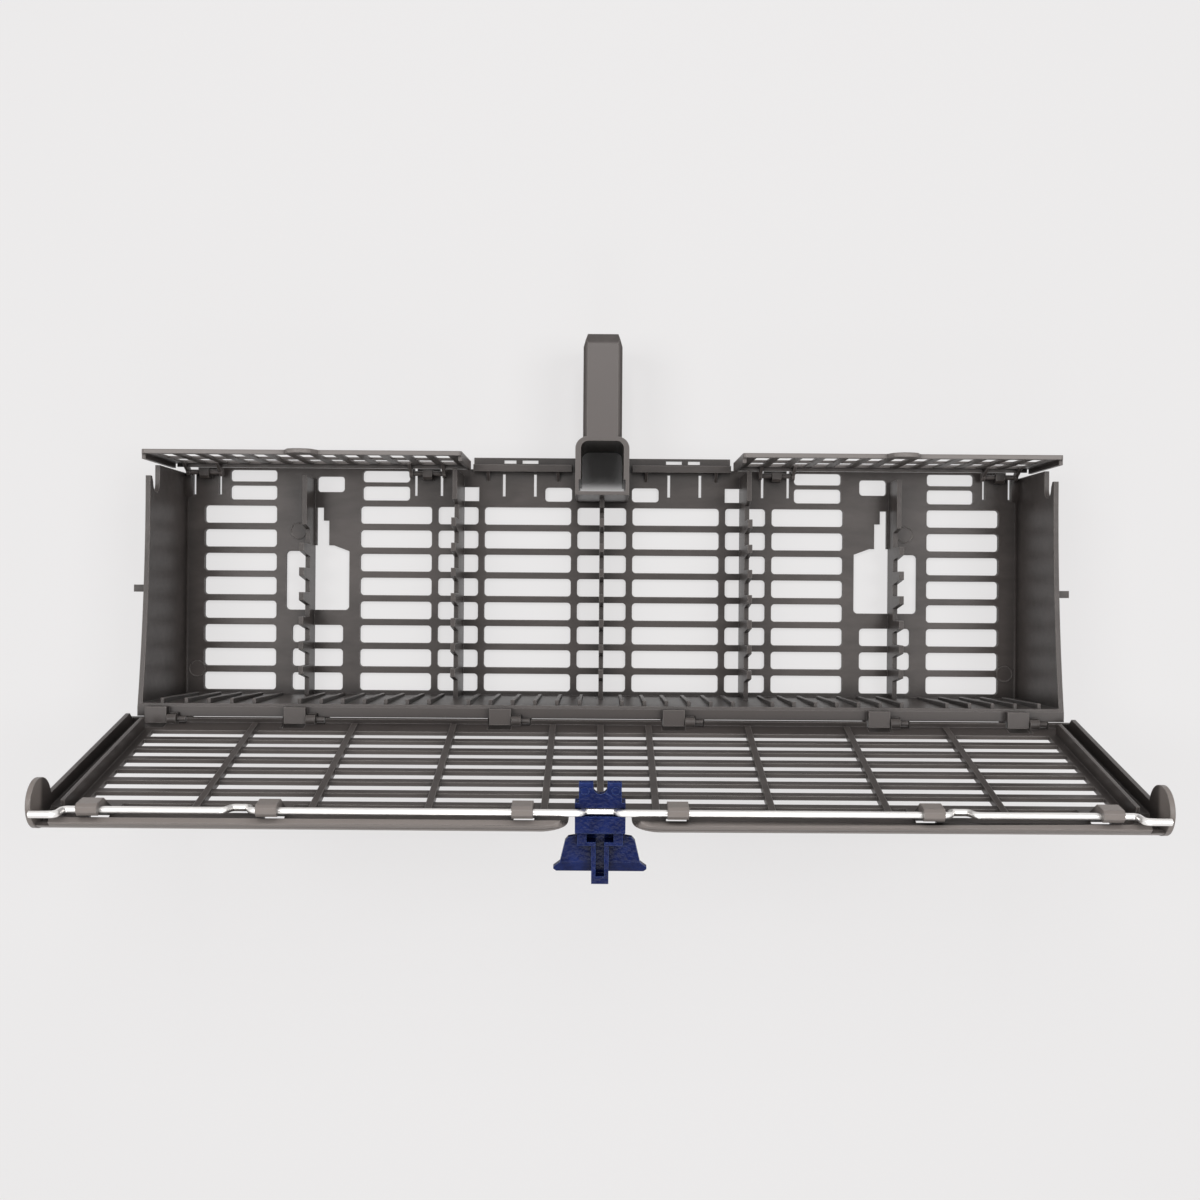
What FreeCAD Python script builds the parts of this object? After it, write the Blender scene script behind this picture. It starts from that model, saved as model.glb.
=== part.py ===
import FreeCAD, Part
import Sketcher
import math
import os

# Dishwasher cutlery basket that hangs inside a dishwasher door, in millimetres.
# It lies on its back as it does on a table: X runs along its length, Y towards its carrying
# handle, Z from its back panel to its open front. The origin is on the back face of the panel,
# in the middle of its length. The front door stands open, tilted back past upright.

doc = FreeCAD.newDocument("CutleryBasket")
sheet = doc.addObject("Spreadsheet::Sheet", "Sizes")
V = FreeCAD.Vector


class Size:
    """A length with the spreadsheet expression that gives it, so that sums keep both."""

    def __init__(self, value, text):
        self.value = float(value)
        self.text = text

    def mix(self, other, sign, swap=False):
        other = other if isinstance(other, Size) else Size(other, repr(other))
        a, b = (other, self) if swap else (self, other)
        if sign == "+":
            value = a.value + b.value
        elif sign == "-":
            value = a.value - b.value
        elif sign == "*":
            value = a.value * b.value
        else:
            value = a.value / b.value
        return Size(value, f"({a.text} {sign} {b.text})")

    def __add__(self, other):
        return self.mix(other, "+")

    def __radd__(self, other):
        return self.mix(other, "+", True)

    def __sub__(self, other):
        return self.mix(other, "-")

    def __rsub__(self, other):
        return self.mix(other, "-", True)

    def __mul__(self, other):
        return self.mix(other, "*")

    def __rmul__(self, other):
        return self.mix(other, "*", True)

    def __truediv__(self, other):
        return self.mix(other, "/")

    def __neg__(self):
        return Size(-self.value, f"(0 - {self.text})")


def root(length):
    return Size(math.sqrt(length.value), f"sqrt({length.text})")


def sine(angle):
    return Size(math.sin(math.radians(angle.value)), f"sin({angle.text})")


def cosine(angle):
    return Size(math.cos(math.radians(angle.value)), f"cos({angle.text})")


rows = []


def size(alias, value):
    """Writes one driving dimension into the sheet and returns it."""
    rows.append(alias)
    row = len(rows)
    sheet.set(f"A{row}", alias)
    sheet.set(f"B{row}", str(value))
    sheet.setAlias(f"B{row}", alias)
    return Size(value, f"{sheet.Name}.{alias}")


# Tub: back panel, floor and side walls in one moulding
halfLength = size("halfLength", 229.0)
wallThick = size("wallThick", 2.4)
panelThick = size("panelThick", 2.6)
floorTop = size("floorTop", -53.4)
floorThick = size("floorThick", 2.4)
cornerInside = size("cornerInside", 5.0)
sideTop = size("sideTop", 66.5)
sideRearDepth = size("sideRearDepth", 47.4)
frontDepthLow = size("frontDepthLow", 71.0)
frontDepthMid = size("frontDepthMid", 63.3)
frontDepthTop = size("frontDepthTop", 61.4)
frontMidPlace = size("frontMidPlace", 4.0)
fingerTop = size("fingerTop", 60.0)
fingerThick = size("fingerThick", 2.4)
notchWidth = size("notchWidth", 9.8)
notchDepth = size("notchDepth", 7.8)
lipDrop = size("lipDrop", 4.0)
lipThick = size("lipThick", 2.4)
panelTop = size("panelTop", 69.9)
rimTop = size("rimTop", 76.2)
panelEnd = size("panelEnd", 220.6)
rimHalf = size("rimHalf", 69.9)

# Slots of the back panel
slotRows = 8
keySlotRows = 3
slotPitch = size("slotPitch", 13.0)
slotHeight = size("slotHeight", 9.5)
slotTopRow = size("slotTopRow", 44.5)
slotCorner = size("slotCorner", 1.9)
endSlot = (size("endSlotFrom", 177.5), size("endSlotTo", 216.8))
outerSlot = (size("outerSlotFrom", 92.8), size("outerSlotTo", 131.8))
cellSlot = (size("cellSlotFrom", 67.4), size("cellSlotTo", 89.4))
innerSlot = (size("innerSlotFrom", 16.8), size("innerSlotTo", 64.0))
middleSlotHalf = size("middleSlotHalf", 13.3)
keySlotFrom = size("keySlotFrom", 141.0)
keySlotTo = size("keySlotTo", 168.8)

# Keyholes that drop over the buttons of the appliance door
keyholeFrom = size("keyholeFrom", 137.8)
keyholeTo = size("keyholeTo", 172.3)
keyholeLow = size("keyholeLow", -7.5)
keyholeHigh = size("keyholeHigh", 24.6)
keyholeCorner = size("keyholeCorner", 2.2)
shoulderRise = size("shoulderRise", 3.2)
shoulderNear = size("shoulderNear", 146.4)
shoulderFar = size("shoulderFar", 161.8)
neckFar = size("neckFar", 155.6)
neckNear = size("neckNear", 148.9)
neckStep = size("neckStep", 41.3)
neckNarrow = size("neckNarrow", 151.9)
neckTop = size("neckTop", 48.4)

# Short slots and spring tongues of the upper strip
shortHigh = (size("shortHighFrom", 62.4), size("shortHighTo", 68.7))
shortLow = (size("shortLowFrom", 52.5), size("shortLowTo", 60.2))
shortEnd = (size("shortEndFrom", 177.5), size("shortEndTo", 203.0))
shortOuter = (size("shortOuterFrom", 104.9), size("shortOuterTo", 130.6))
shortCell = (size("shortCellFrom", 67.1), size("shortCellTo", 75.2))
shortInner = (size("shortInnerFrom", 16.4), size("shortInnerTo", 31.0))
shortKey = (size("shortKeyFrom", 140.6), size("shortKeyTo", 155.4))
shortKeyRow = (size("shortKeyLow", 56.9), size("shortKeyHigh", 65.4))
reliefWidth = size("reliefWidth", 1.5)
reliefLow = size("reliefLow", 55.2)
tongueHalfEnd = size("tongueHalfEnd", 7.0)
tongueHalfInner = size("tongueHalfInner", 8.5)
tongueEnd = size("tongueEnd", 215.5)
tongueOuter = size("tongueOuter", 94.6)
tongueInner = size("tongueInner", 45.0)
dashHalf = size("dashHalf", 2.1)
dashLow = size("dashLow", 64.4)
dashHeight = size("dashHeight", 1.2)

# Rail along the top of the middle section
railLow = size("railLow", 68.3)
railHigh = size("railHigh", 72.1)
railDepth = size("railDepth", 8.0)
railFrom = size("railFrom", 16.4)
gussetReach = size("gussetReach", 5.0)
gussetThick = size("gussetThick", 1.6)
gussetPlaces = [size("gussetOuter", 62.0), size("gussetInner", 24.0)]
stripHoles = [(size("stripHoleFrom", 34.9), size("stripHoleTo", 43.6)),
              (size("stripHoleNext", 46.9), size("stripHoleEnd", 53.5))]
stripHoleLow = size("stripHoleLow", 73.1)
stripHoleHigh = size("stripHoleHigh", 75.0)

# Floor grille
floorSlotCount = 40
floorSlotPitch = size("floorSlotPitch", 11.0)
floorSlotWidth = size("floorSlotWidth", 6.6)
floorSlotFrom = size("floorSlotFrom", 8.0)
floorSlotTo = size("floorSlotTo", 63.0)

# Dividers with toothed front edges
dividerThick = size("dividerThick", 2.4)
dividerCell = size("dividerCell", 76.5)
dividerKey = size("dividerKey", 158.0)
cellTop = size("cellTop", 66.5)
cellRoot = size("cellRoot", 28.0)
cellPlain = size("cellPlain", 38.0)
cellPlainLow = size("cellPlainLow", 51.0)
keyTop = size("keyTop", 64.0)
keyRoot = size("keyRoot", 14.0)
keyPlain = size("keyPlain", 22.5)
keyPlainLow = size("keyPlainLow", 38.0)
middlePlainLow = size("middlePlainLow", 47.0)
toothDepth = size("toothDepth", 15.0)
toothRise = size("toothRise", 3.05)
toothFront = size("toothFront", 4.3)
toothSlope = size("toothSlope", 2.5)

# Guide pegs on the ends
pegLength = size("pegLength", 7.8)
pegHeight = size("pegHeight", 3.6)
pegDepth = size("pegDepth", 10.0)
pegMiddle = size("pegMiddle", 3.4)
pegFront = size("pegFront", 55.0)

# Hinge between tub and door
hingeY = size("hingeY", -61.0)
hingeZ = size("hingeZ", 73.0)
pinRadius = size("pinRadius", 1.4)
pinTail = size("pinTail", 4.2)
hingeShift = size("hingeShift", 1.2)
hingePlaces = [size("hingeEnd", 212.0), size("hingeOuter", 143.7), size("hingeInner", 42.7)]
blockLength = size("blockLength", 10.6)
blockUnder = size("blockUnder", 1.8)
blockFront = size("blockFront", 2.0)
clipLength = size("clipLength", 4.6)
clipRadius = size("clipRadius", 3.2)
clipMouth = size("clipMouth", 1.1)
runGap = size("runGap", 0.3)
pinGap = size("pinGap", 0.1)

# Door: local Y runs from the hinge to the flared rim, local Z points outwards
doorAngle = size("doorAngle", 105.3)
doorPlateIn = size("doorPlateIn", 1.4)
doorPlateThick = size("doorPlateThick", 2.0)
doorPlateTop = size("doorPlateTop", 106.5)
doorRibHeight = size("doorRibHeight", 1.0)
doorRibWidth = size("doorRibWidth", 3.0)
doorRibPitch = size("doorRibPitch", 48.6)
doorRibFirst = size("doorRibFirst", 23.4)
doorSlotPitch = size("doorSlotPitch", 12.2)
doorSlotFirst = size("doorSlotFirst", 16.0)
doorSlotHeight = size("doorSlotHeight", 8.7)
doorSlotEnd = size("doorSlotEnd", 217.0)
doorSlotRows = 8
beadHalf = size("beadHalf", 0.9)
rimRadius = size("rimRadius", 10.0)
rimMiddle = size("rimMiddle", 111.0)
rimThick = size("rimThick", 2.4)
rimInside = size("rimInside", 4.6)
rimOuterEnd = size("rimOuterEnd", 65.5)
rimInnerEnd = size("rimInnerEnd", 70.0)
rimEndRound = size("rimEndRound", 8.4)
rimCutFrom = size("rimCutFrom", 223.5)
latchGap = size("latchGap", 13.0)
latchNotch = size("latchNotch", 104.5)
flangeThick = size("flangeThick", 2.0)
flangeHeight = size("flangeHeight", 5.0)
innerRibPlace = size("innerRibPlace", 221.0)
innerRibThick = size("innerRibThick", 1.6)
innerRibStart = size("innerRibStart", 10.0)
innerRibStop = size("innerRibStop", 108.0)
capRadius = size("capRadius", 12.5)
capThick = size("capThick", 3.2)
capInside = size("capInside", 5.0)
endGap = size("endGap", 0.4)
doorHalf = halfLength + endGap + flangeThick

# Latch wire on the door
wireRadius = size("wireRadius", 1.5)
wirePlace = size("wirePlace", 116.0)
wireInside = size("wireInside", 4.3)
wireHalf = size("wireHalf", 228.9)
wireBend = size("wireBend", 2.2)
crankReach = size("crankReach", 8.0)
crankTilt = size("crankTilt", 10.0)
crankEndFrom = size("crankEndFrom", 218.5)
crankMiddleHalf = size("crankMiddleHalf", 6.2)
crankMiddleReach = size("crankMiddleReach", 3.0)
crankSlope = size("crankSlope", 2.0)
crankSidePlace = size("crankSidePlace", 147.5)
crankSideHalf = size("crankSideHalf", 4.5)
crankSideReach = size("crankSideReach", 5.0)
wireClipPlaces = [size("wireClipEnd", 207.5), size("wireClipOuter", 135.0), size("wireClipInner", 31.6)]
wireClipHalf = size("wireClipHalf", 5.2)
wireClipMouth = size("wireClipMouth", 1.2)
windowLow = size("windowLow", 104.6)
windowHigh = size("windowHigh", 111.5)

# Lids over the two end sections, around the axis of their pins
lidFrom = size("lidFrom", 70.7)
lidTo = size("lidTo", 231.5)
lidUnder = size("lidUnder", 71.0)
lidThick = size("lidThick", 2.2)
lidRear = size("lidRear", 10.5)
lidFront = size("lidFront", 62.0)
lidCorner = size("lidCorner", 2.0)
lidSlotPitch = size("lidSlotPitch", 11.6)
lidSlotWidth = size("lidSlotWidth", 7.6)
lidSlotInset = size("lidSlotInset", 7.0)
lidSlotRows = [(size("lidRearRowFrom", 14.0), size("lidRearRowTo", 35.6)),
               (size("lidFrontRowFrom", 39.4), size("lidFrontRowTo", 58.6))]
lidSlotCount = 13
lidTabPlace = size("lidTabPlace", 151.0)
lidTabHalf = size("lidTabHalf", 8.5)
lidTabReach = size("lidTabReach", 8.0)
lidEdgeDrop = size("lidEdgeDrop", 2.6)
lidEdgeThick = size("lidEdgeThick", 1.8)
lidAxisY = size("lidAxisY", 66.9)
lidAxisZ = size("lidAxisZ", 7.0)
lidPinRadius = size("lidPinRadius", 1.35)
lidLugThick = size("lidLugThick", 1.8)
lidLugRadius = size("lidLugRadius", 2.3)
lidLugHalf = size("lidLugHalf", 8.9)
lidHookWidth = size("lidHookWidth", 5.0)
lidHookWall = size("lidHookWall", 1.25)
lidHookTop = size("lidHookTop", 68.9)
lidHookMouth = size("lidHookMouth", 1.15)

# Carrying handle with the latch housing at its foot
housingHalf = size("housingHalf", 13.7)
housingLow = size("housingLow", 52.3)
housingHigh = size("housingHigh", 81.8)
housingSide = size("housingSide", 2.8)
housingThin = size("housingThin", 1.8)
housingRoof = size("housingRoof", 2.1)
housingStep = size("housingStep", 60.0)
housingDepth = size("housingDepth", 55.0)
housingCorner = size("housingCorner", 6.0)
gripTop = size("gripTop", 134.9)
gripHalf = size("gripHalf", 9.9)
gripFaceHalf = size("gripFaceHalf", 7.75)
gripRearHalf = size("gripRearHalf", 7.0)
gripBar = size("gripBar", 11.0)
gripRear = size("gripRear", 3.0)
gripRearBar = size("gripRearBar", 10.0)
gripSlant = size("gripSlant", 6.0)
gripWall = size("gripWall", 2.4)
gripFoot = size("gripFoot", 6.0)

# Latch lever around the axis of the wire, with the directions of the door
forkHalf = size("forkHalf", 8.7)
forkLow = size("forkLow", 4.6)
forkThick = size("forkThick", 2.4)
forkTip = size("forkTip", 12.3)
forkNotchHalf = size("forkNotchHalf", 2.9)
forkNotchDepth = size("forkNotchDepth", 5.0)
seatHalf = size("seatHalf", 10.35)
seatFront = size("seatFront", 3.5)
seatWall = size("seatWall", 2.4)
seatNear = size("seatNear", 1.2)
seatFar = size("seatFar", 2.1)
bodyHigh = size("bodyHigh", 1.0)
bodyLow = size("bodyLow", 9.4)
bodyOut = size("bodyOut", 9.5)
frameHalf = size("frameHalf", 9.4)
frameHigh = size("frameHigh", 4.2)
barThick = size("barThick", 1.8)
windowHalf = size("windowHalf", 5.6)
frameOut = size("frameOut", 16.6)
railHalf = size("railHalf", 3.6)
railSlotHalf = size("railSlotHalf", 1.8)
railSlotEnd = size("railSlotEnd", 29.3)
railTip = size("railTip", 32.7)
railDeep = size("railDeep", 5.6)
paddleThick = size("paddleThick", 2.2)
paddleHigh = size("paddleHigh", 9.0)
paddleHalf = size("paddleHalf", 19.6)
paddleBend = size("paddleBend", 22.3)
paddleOut = size("paddleOut", 27.4)
paddleDroop = size("paddleDroop", 2.3)

doc.recompute()


# Sketches whose corners follow the sheet

def bind(target, prop, length):
    """Sets a property from the sheet, or as it stands when it is a plain number."""
    if isinstance(length, Size):
        target.setExpression(prop, length.text)
    else:
        setattr(target, prop, length)


def number(length):
    return length.value if isinstance(length, Size) else float(length)


def plane(body, role):
    return next(item for item in body.Origin.OriginFeatures if item.Role == role)


class Drawing:
    """A sketch, whose lines and constraints are handed over together once it is complete."""

    def __init__(self, body, role, level, shift):
        self.item = body.newObject("Sketcher::SketchObject", "Sketch")
        self.item.AttachmentSupport = [(plane(body, role), "")]
        self.item.MapMode = "FlatFace"
        base = V(0, number(shift), number(level))
        self.item.AttachmentOffset = FreeCAD.Placement(base, FreeCAD.Rotation())
        if isinstance(level, Size):
            self.item.setExpression("AttachmentOffset.Base.z", level.text)
        if isinstance(shift, Size):
            self.item.setExpression("AttachmentOffset.Base.y", shift.text)
        self.lines = []
        self.marks = []
        self.holds = []

    def line(self, shape):
        self.lines.append(shape)
        return len(self.lines) - 1

    def mark(self, u, v):
        """A construction point held at u, v."""
        self.marks.append(Part.Point(V(number(u), number(v), 0)))
        name = f"mark{len(self.marks) - 1}"
        self.pin(name, 1, u, v)
        return name

    def hold(self, *parts, length=None):
        self.holds.append((parts, length))

    def pin(self, geometry, end, u, v):
        """Holds a point at u, v from the origin of the sketch."""
        for kind, axis, length in (("DistanceX", -2, u), ("DistanceY", -1, v)):
            if not isinstance(length, Size) and abs(length) < 1e-6:
                self.hold("PointOnObject", geometry, end, axis)
            else:
                self.hold(kind, -1, 1, geometry, end, length=length)

    def finish(self):
        self.item.addGeometry(self.lines, False)
        if self.marks:
            self.item.addGeometry(self.marks, True)
        first = len(self.lines)
        constraints = []
        for parts, length in self.holds:
            parts = [first + int(v[4:]) if isinstance(v, str) and v.startswith("mark") else v for v in parts]
            if length is not None:
                parts.append(number(length))
            constraints.append(Sketcher.Constraint(*parts))
        self.item.addConstraint(constraints)
        for index, (_, length) in enumerate(self.holds):
            if isinstance(length, Size):
                self.item.setExpression(f"Constraints[{index}]", length.text)
        self.item.Visibility = False
        return self.item


def sketch(body, role, level=0.0, shift=0.0):
    """Opens a sketch on a plane through the body's origin, moved along its normal by level."""
    return Drawing(body, role, level, shift)


def bow(start, through, end):
    """An arc, and whether the sketch keeps its direction, as it turns all arcs anticlockwise."""
    forward = (through - start).cross(end - through).z > 0
    return Part.Arc(start, through, end), forward


def square_corner(before, corner, after):
    """The steps from a corner back along its two edges, when both edges run along the axes."""
    steps = []
    for other in (before, after):
        step = (other - corner).normalize()
        if abs(step.x * step.y) > 1e-9:
            return None
        steps.append((round(step.x), round(step.y)))
    return steps


def outline(drawn, corners, closed=True):
    """Draws a loop, or an open line, of straight edges and arcs.

    A corner is (u, v), or (u, v, radius) where it is rounded, or (u, v, None, (u, v)) where the
    edge that leaves it is an arc through a third point.
    """
    count = len(corners)
    spots = [V(number(c[0]), number(c[1]), 0) for c in corners]
    radii = [c[2] if len(c) > 2 else None for c in corners]
    starts, ends, mids = [], [], []
    for i, spot in enumerate(spots):
        start, end, mid = spot, spot, None
        if radii[i] is not None:
            before = (spots[i - 1] - spot).normalize()
            after = (spots[(i + 1) % count] - spot).normalize()
            half = before.getAngle(after) / 2
            back = number(radii[i]) / math.tan(half)
            start, end = spot + before * back, spot + after * back
            centre = spot + (before + after).normalize() * (number(radii[i]) / math.sin(half))
            mid = centre + (spot - centre).normalize() * number(radii[i])
        starts.append(start)
        ends.append(end)
        mids.append(mid)
    edges = []
    for i in range(count if closed else count - 1):
        following = (i + 1) % count
        via = corners[i][3] if len(corners[i]) > 3 else None
        if via is None:
            edges.append((drawn.line(Part.LineSegment(ends[i], starts[following])), 1, 2))
            continue
        arc, forward = bow(ends[i], V(number(via[0]), number(via[1]), 0), starts[following])
        index = drawn.line(arc)
        edges.append((index, 1, 2) if forward else (index, 2, 1))
        drawn.hold("PointOnObject", drawn.mark(via[0], via[1]), 1, index)
    for i in range(count):
        if not closed and i in (0, count - 1):
            edge = edges[0] if i == 0 else edges[-1]
            drawn.pin(edge[0], edge[1] if i == 0 else edge[2], corners[i][0], corners[i][1])
            continue
        edge, _, tail = edges[i - 1]
        leaving, head, _ = edges[i]
        if mids[i] is None:
            drawn.hold("Coincident", edge, tail, leaving, head)
            drawn.pin(leaving, head, corners[i][0], corners[i][1])
            continue
        arc, forward = bow(starts[i], mids[i], ends[i])
        bend = drawn.line(arc)
        first, last = (1, 2) if forward else (2, 1)
        back = square_corner(spots[i - 1], spots[i], spots[(i + 1) % count])
        if back:
            u, v, radius = corners[i][:3]
            drawn.hold("Coincident", edge, tail, bend, first)
            drawn.hold("Coincident", bend, last, leaving, head)
            drawn.hold("Radius", bend, length=radius)
            drawn.pin(edge, tail, u + radius * back[0][0], v + radius * back[0][1])
            drawn.pin(leaving, head, u + radius * back[1][0], v + radius * back[1][1])
            continue
        drawn.hold("Tangent", edge, tail, bend, first)
        drawn.hold("Tangent", bend, last, leaving, head)
        drawn.hold("Radius", bend, length=radii[i])
        mark = drawn.mark(corners[i][0], corners[i][1])
        drawn.hold("PointOnObject", mark, 1, edge)
        drawn.hold("PointOnObject", mark, 1, leaving)


def rectangle(drawn, left, right, low, high, radius=None):
    tail = () if radius is None else (radius,)
    outline(drawn, [(left, low) + tail, (right, low) + tail, (right, high) + tail, (left, high) + tail])


def pair(drawn, left, right, low, high, radius=None):
    """The same rectangle on both sides of the middle."""
    rectangle(drawn, left, right, low, high, radius)
    rectangle(drawn, -right, -left, low, high, radius)


def disc(drawn, u, v, radius):
    ring = drawn.line(Part.Circle(V(number(u), number(v), 0), V(0, 0, 1), number(radius)))
    drawn.pin(ring, 3, u, v)
    drawn.hold("Radius", ring, length=radius)


def grow(body, kind, drawn, length, middle, turned):
    feature = body.newObject(f"PartDesign::{kind}", kind)
    feature.Profile = drawn.finish()
    if length is None:
        feature.Type = "ThroughAll"
    else:
        bind(feature, "Length", length)
    feature.SideType = "Symmetric" if middle else "One side"
    feature.Reversed = turned
    feature.Refine = False
    body.Tip = feature
    return feature


def pad(body, drawn, length, middle=False, turned=False):
    return grow(body, "Pad", drawn, length, middle, turned)


def pocket(body, drawn, length=None, middle=False, turned=False):
    """Without a length the cut goes through everything."""
    return grow(body, "Pocket", drawn, length, middle, turned)


def spin(body, kind, drawn):
    """A full turn of a sketch about its own horizontal axis, as a Revolution or a Groove."""
    feature = body.newObject(f"PartDesign::{kind}", kind)
    feature.Profile = drawn.finish()
    feature.ReferenceAxis = (drawn.item, ["H_Axis"])
    feature.Angle = 360
    feature.Refine = False
    body.Tip = feature
    return feature


def repeat(body, features, role, pitch, count, turned=False):
    pattern = body.newObject("PartDesign::LinearPattern", "Row")
    pattern.Originals = features
    pattern.Direction = (plane(body, role), [""])
    pattern.Reversed = turned
    pattern.Occurrences = count
    bind(pattern, "Length", pitch * (count - 1))
    pattern.Refine = False
    body.Tip = pattern
    return pattern


def mirror(body, features):
    """Repeats pads or pockets on the other side of the middle."""
    copy = body.newObject("PartDesign::Mirrored", "Mirror")
    copy.Originals = features
    copy.MirrorPlane = (plane(body, "YZ_Plane"), [""])
    copy.Refine = False
    body.Tip = copy
    return copy


def new_body(label):
    body = doc.addObject("PartDesign::Body", label)
    body.Label = label
    return body


def place_body(body, y, z, tilt=None):
    """Puts a body's origin at y, z, turned about X."""
    body.Placement = FreeCAD.Placement(V(0, number(y), number(z)), FreeCAD.Rotation(V(1, 0, 0), 0))
    if tilt is not None:
        body.Placement.Rotation = FreeCAD.Rotation(V(1, 0, 0), number(tilt))
    if isinstance(y, Size):
        body.setExpression("Placement.Base.y", y.text)
        body.setExpression("Placement.Base.z", z.text)
    if tilt is not None:
        body.setExpression("Placement.Rotation.Angle", tilt.text)


# Tub

def make_tub():
    shell = make_shell()
    panel = make_panel()
    tub = doc.addObject("Part::MultiFuse", "tub")
    tub.Label = "tub"
    tub.Shapes = [shell, panel]
    tub.Refine = False
    return tub


def make_shell():
    """Floor and ends, with all that stands on them and on the panel."""
    body = new_body("shell")
    floorLow = floorTop - floorThick
    notchLow = fingerTop - notchDepth
    rounding = notchLow + notchWidth / 2
    profile = sketch(body, "YZ_Plane")
    outline(profile, [
        (floorLow, 0.0),
        (sideTop, 0.0),
        (sideTop, sideRearDepth),
        (rounding, sideRearDepth, None, (notchLow, sideRearDepth + notchWidth / 2)),
        (rounding, sideRearDepth + notchWidth),
        (fingerTop, frontDepthTop - fingerThick),
        (fingerTop, frontDepthTop, None, (frontMidPlace, frontDepthMid)),
        (floorLow, frontDepthLow),
    ])
    pad(body, profile, halfLength * 2, middle=True)

    # The rear edges of the ends are rounded
    corners = sketch(body, "XZ_Plane", -floorLow)
    outside = cornerInside + wallThick
    for side in (1, -1):
        outline(corners, [
            ((halfLength + 1) * side, -1.0),
            ((halfLength + 1) * side, outside),
            (halfLength * side, outside, None,
             ((halfLength - outside * 0.29289) * side, outside * 0.29289)),
            ((halfLength - outside) * side, 0.0),
            ((halfLength - outside) * side, -1.0),
        ])
    pocket(body, corners)

    inside = sketch(body, "XZ_Plane", -floorTop)
    farFront = frontDepthLow + 10
    wall = halfLength - wallThick
    outline(inside, [
        (-panelEnd, -1.0),
        (panelEnd, -1.0),
        (panelEnd, panelThick),
        (wall, panelThick, cornerInside),
        (wall, farFront),
        (-wall, farFront),
        (-wall, panelThick, cornerInside),
        (-panelEnd, panelThick),
    ])
    pocket(body, inside)

    lip = sketch(body, "YZ_Plane")
    rectangle(lip, floorLow - lipDrop, floorLow + 1, frontDepthLow - lipThick, frontDepthLow)
    pad(body, lip, halfLength * 2, middle=True)
    relief = sketch(body, "XY_Plane", panelThick + 4)
    outermost = tongueEnd + tongueHalfEnd
    pair(relief, outermost - reliefWidth / 2, outermost + reliefWidth / 2, reliefLow, panelTop)
    pocket(body, relief)

    peg = sketch(body, "XY_Plane", pegFront)
    pair(peg, halfLength - 1, halfLength + pegLength, pegMiddle - pegHeight / 2, pegMiddle + pegHeight / 2)
    pad(body, peg, pegDepth, turned=True)

    add_hinge_blocks(body, floorLow)
    add_dividers(body)
    cut_floor(body, floorLow)
    return body


def make_panel():
    """Back panel with its slots, rail and hooks."""
    body = new_body("panel")
    plate = sketch(body, "XY_Plane")
    outline(plate, [
        (-panelEnd, floorTop - floorThick / 2),
        (panelEnd, floorTop - floorThick / 2),
        (panelEnd, panelTop),
        (rimHalf, panelTop),
        (rimHalf, rimTop),
        (housingHalf, rimTop),
        (housingHalf, housingLow),
        (-housingHalf, housingLow),
        (-housingHalf, rimTop),
        (-rimHalf, rimTop),
        (-rimHalf, panelTop),
        (-panelEnd, panelTop),
    ])
    pad(body, plate, panelThick)
    add_rail(body)
    add_snap_hooks(body)
    cut_keyholes(body)
    cut_panel(body)
    return body


def cut_keyholes(body):
    """Keyholes and the small slots of the upper strip."""
    near = dividerKey - dividerThick / 2
    far = dividerKey + dividerThick / 2
    shoulder = keyholeHigh + shoulderRise
    for side in (1, -1):
        keyhole = sketch(body, "XY_Plane", panelThick)
        outline(keyhole, [
            (keyholeFrom * side, keyholeLow, keyholeCorner),
            (near * side, keyholeLow),
            (near * side, shoulder),
            (neckFar * side, shoulder),
            (neckFar * side, neckTop),
            (neckNarrow * side, neckTop),
            (neckNarrow * side, neckStep),
            (neckNear * side, neckStep),
            (neckNear * side, shoulder),
            (shoulderNear * side, shoulder),
            (keyholeFrom * side, keyholeHigh),
        ])
        outline(keyhole, [
            (far * side, keyholeLow),
            (keyholeTo * side, keyholeLow, keyholeCorner),
            (keyholeTo * side, keyholeHigh, keyholeCorner),
            (shoulderFar * side, keyholeHigh),
            (shoulderFar * side, shoulder),
            (far * side, shoulder),
        ])
        pocket(body, keyhole)
    shorts = [
        [(shortEnd, shortHigh), (shortEnd, shortLow)],
        [(shortOuter, shortHigh), (shortOuter, shortLow)],
        [(shortInner, shortLow), (shortKey, shortKeyRow)],
    ]
    for group in shorts:
        slot = sketch(body, "XY_Plane", panelThick)
        for (left, right), (low, high) in group:
            pair(slot, left, right, low, high, slotCorner)
        pocket(body, slot)
    relief = sketch(body, "XY_Plane", panelThick)
    width = reliefWidth / 2
    for centre, high in ((tongueEnd - tongueHalfEnd, panelTop + 1),
                         (tongueOuter - tongueHalfEnd, panelTop + 1),
                         (tongueOuter + tongueHalfEnd, panelTop + 1),
                         (tongueInner - tongueHalfInner, railLow - 1),
                         (tongueInner + tongueHalfInner, railLow - 1)):
        pair(relief, centre - width, centre + width, reliefLow, high)
    pocket(body, relief)
    small = sketch(body, "XY_Plane", panelThick)
    for place in (tongueEnd, tongueOuter):
        pair(small, place - dashHalf, place + dashHalf, dashLow, dashLow + dashHeight)
    for left, right in stripHoles:
        pair(small, left, right, stripHoleLow, stripHoleHigh)
    pair(small, shortCell[0], shortCell[1], shortLow[0], shortLow[1])
    pocket(body, small)


def half_slot(drawn, blunt, round_end, low, high):
    """A slot that ends square against a divider and rounded at its other end."""
    for side in (1, -1):
        outline(drawn, [
            (blunt * side, low),
            (round_end * side, low, slotCorner),
            (round_end * side, high, slotCorner),
            (blunt * side, high),
        ])


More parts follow.
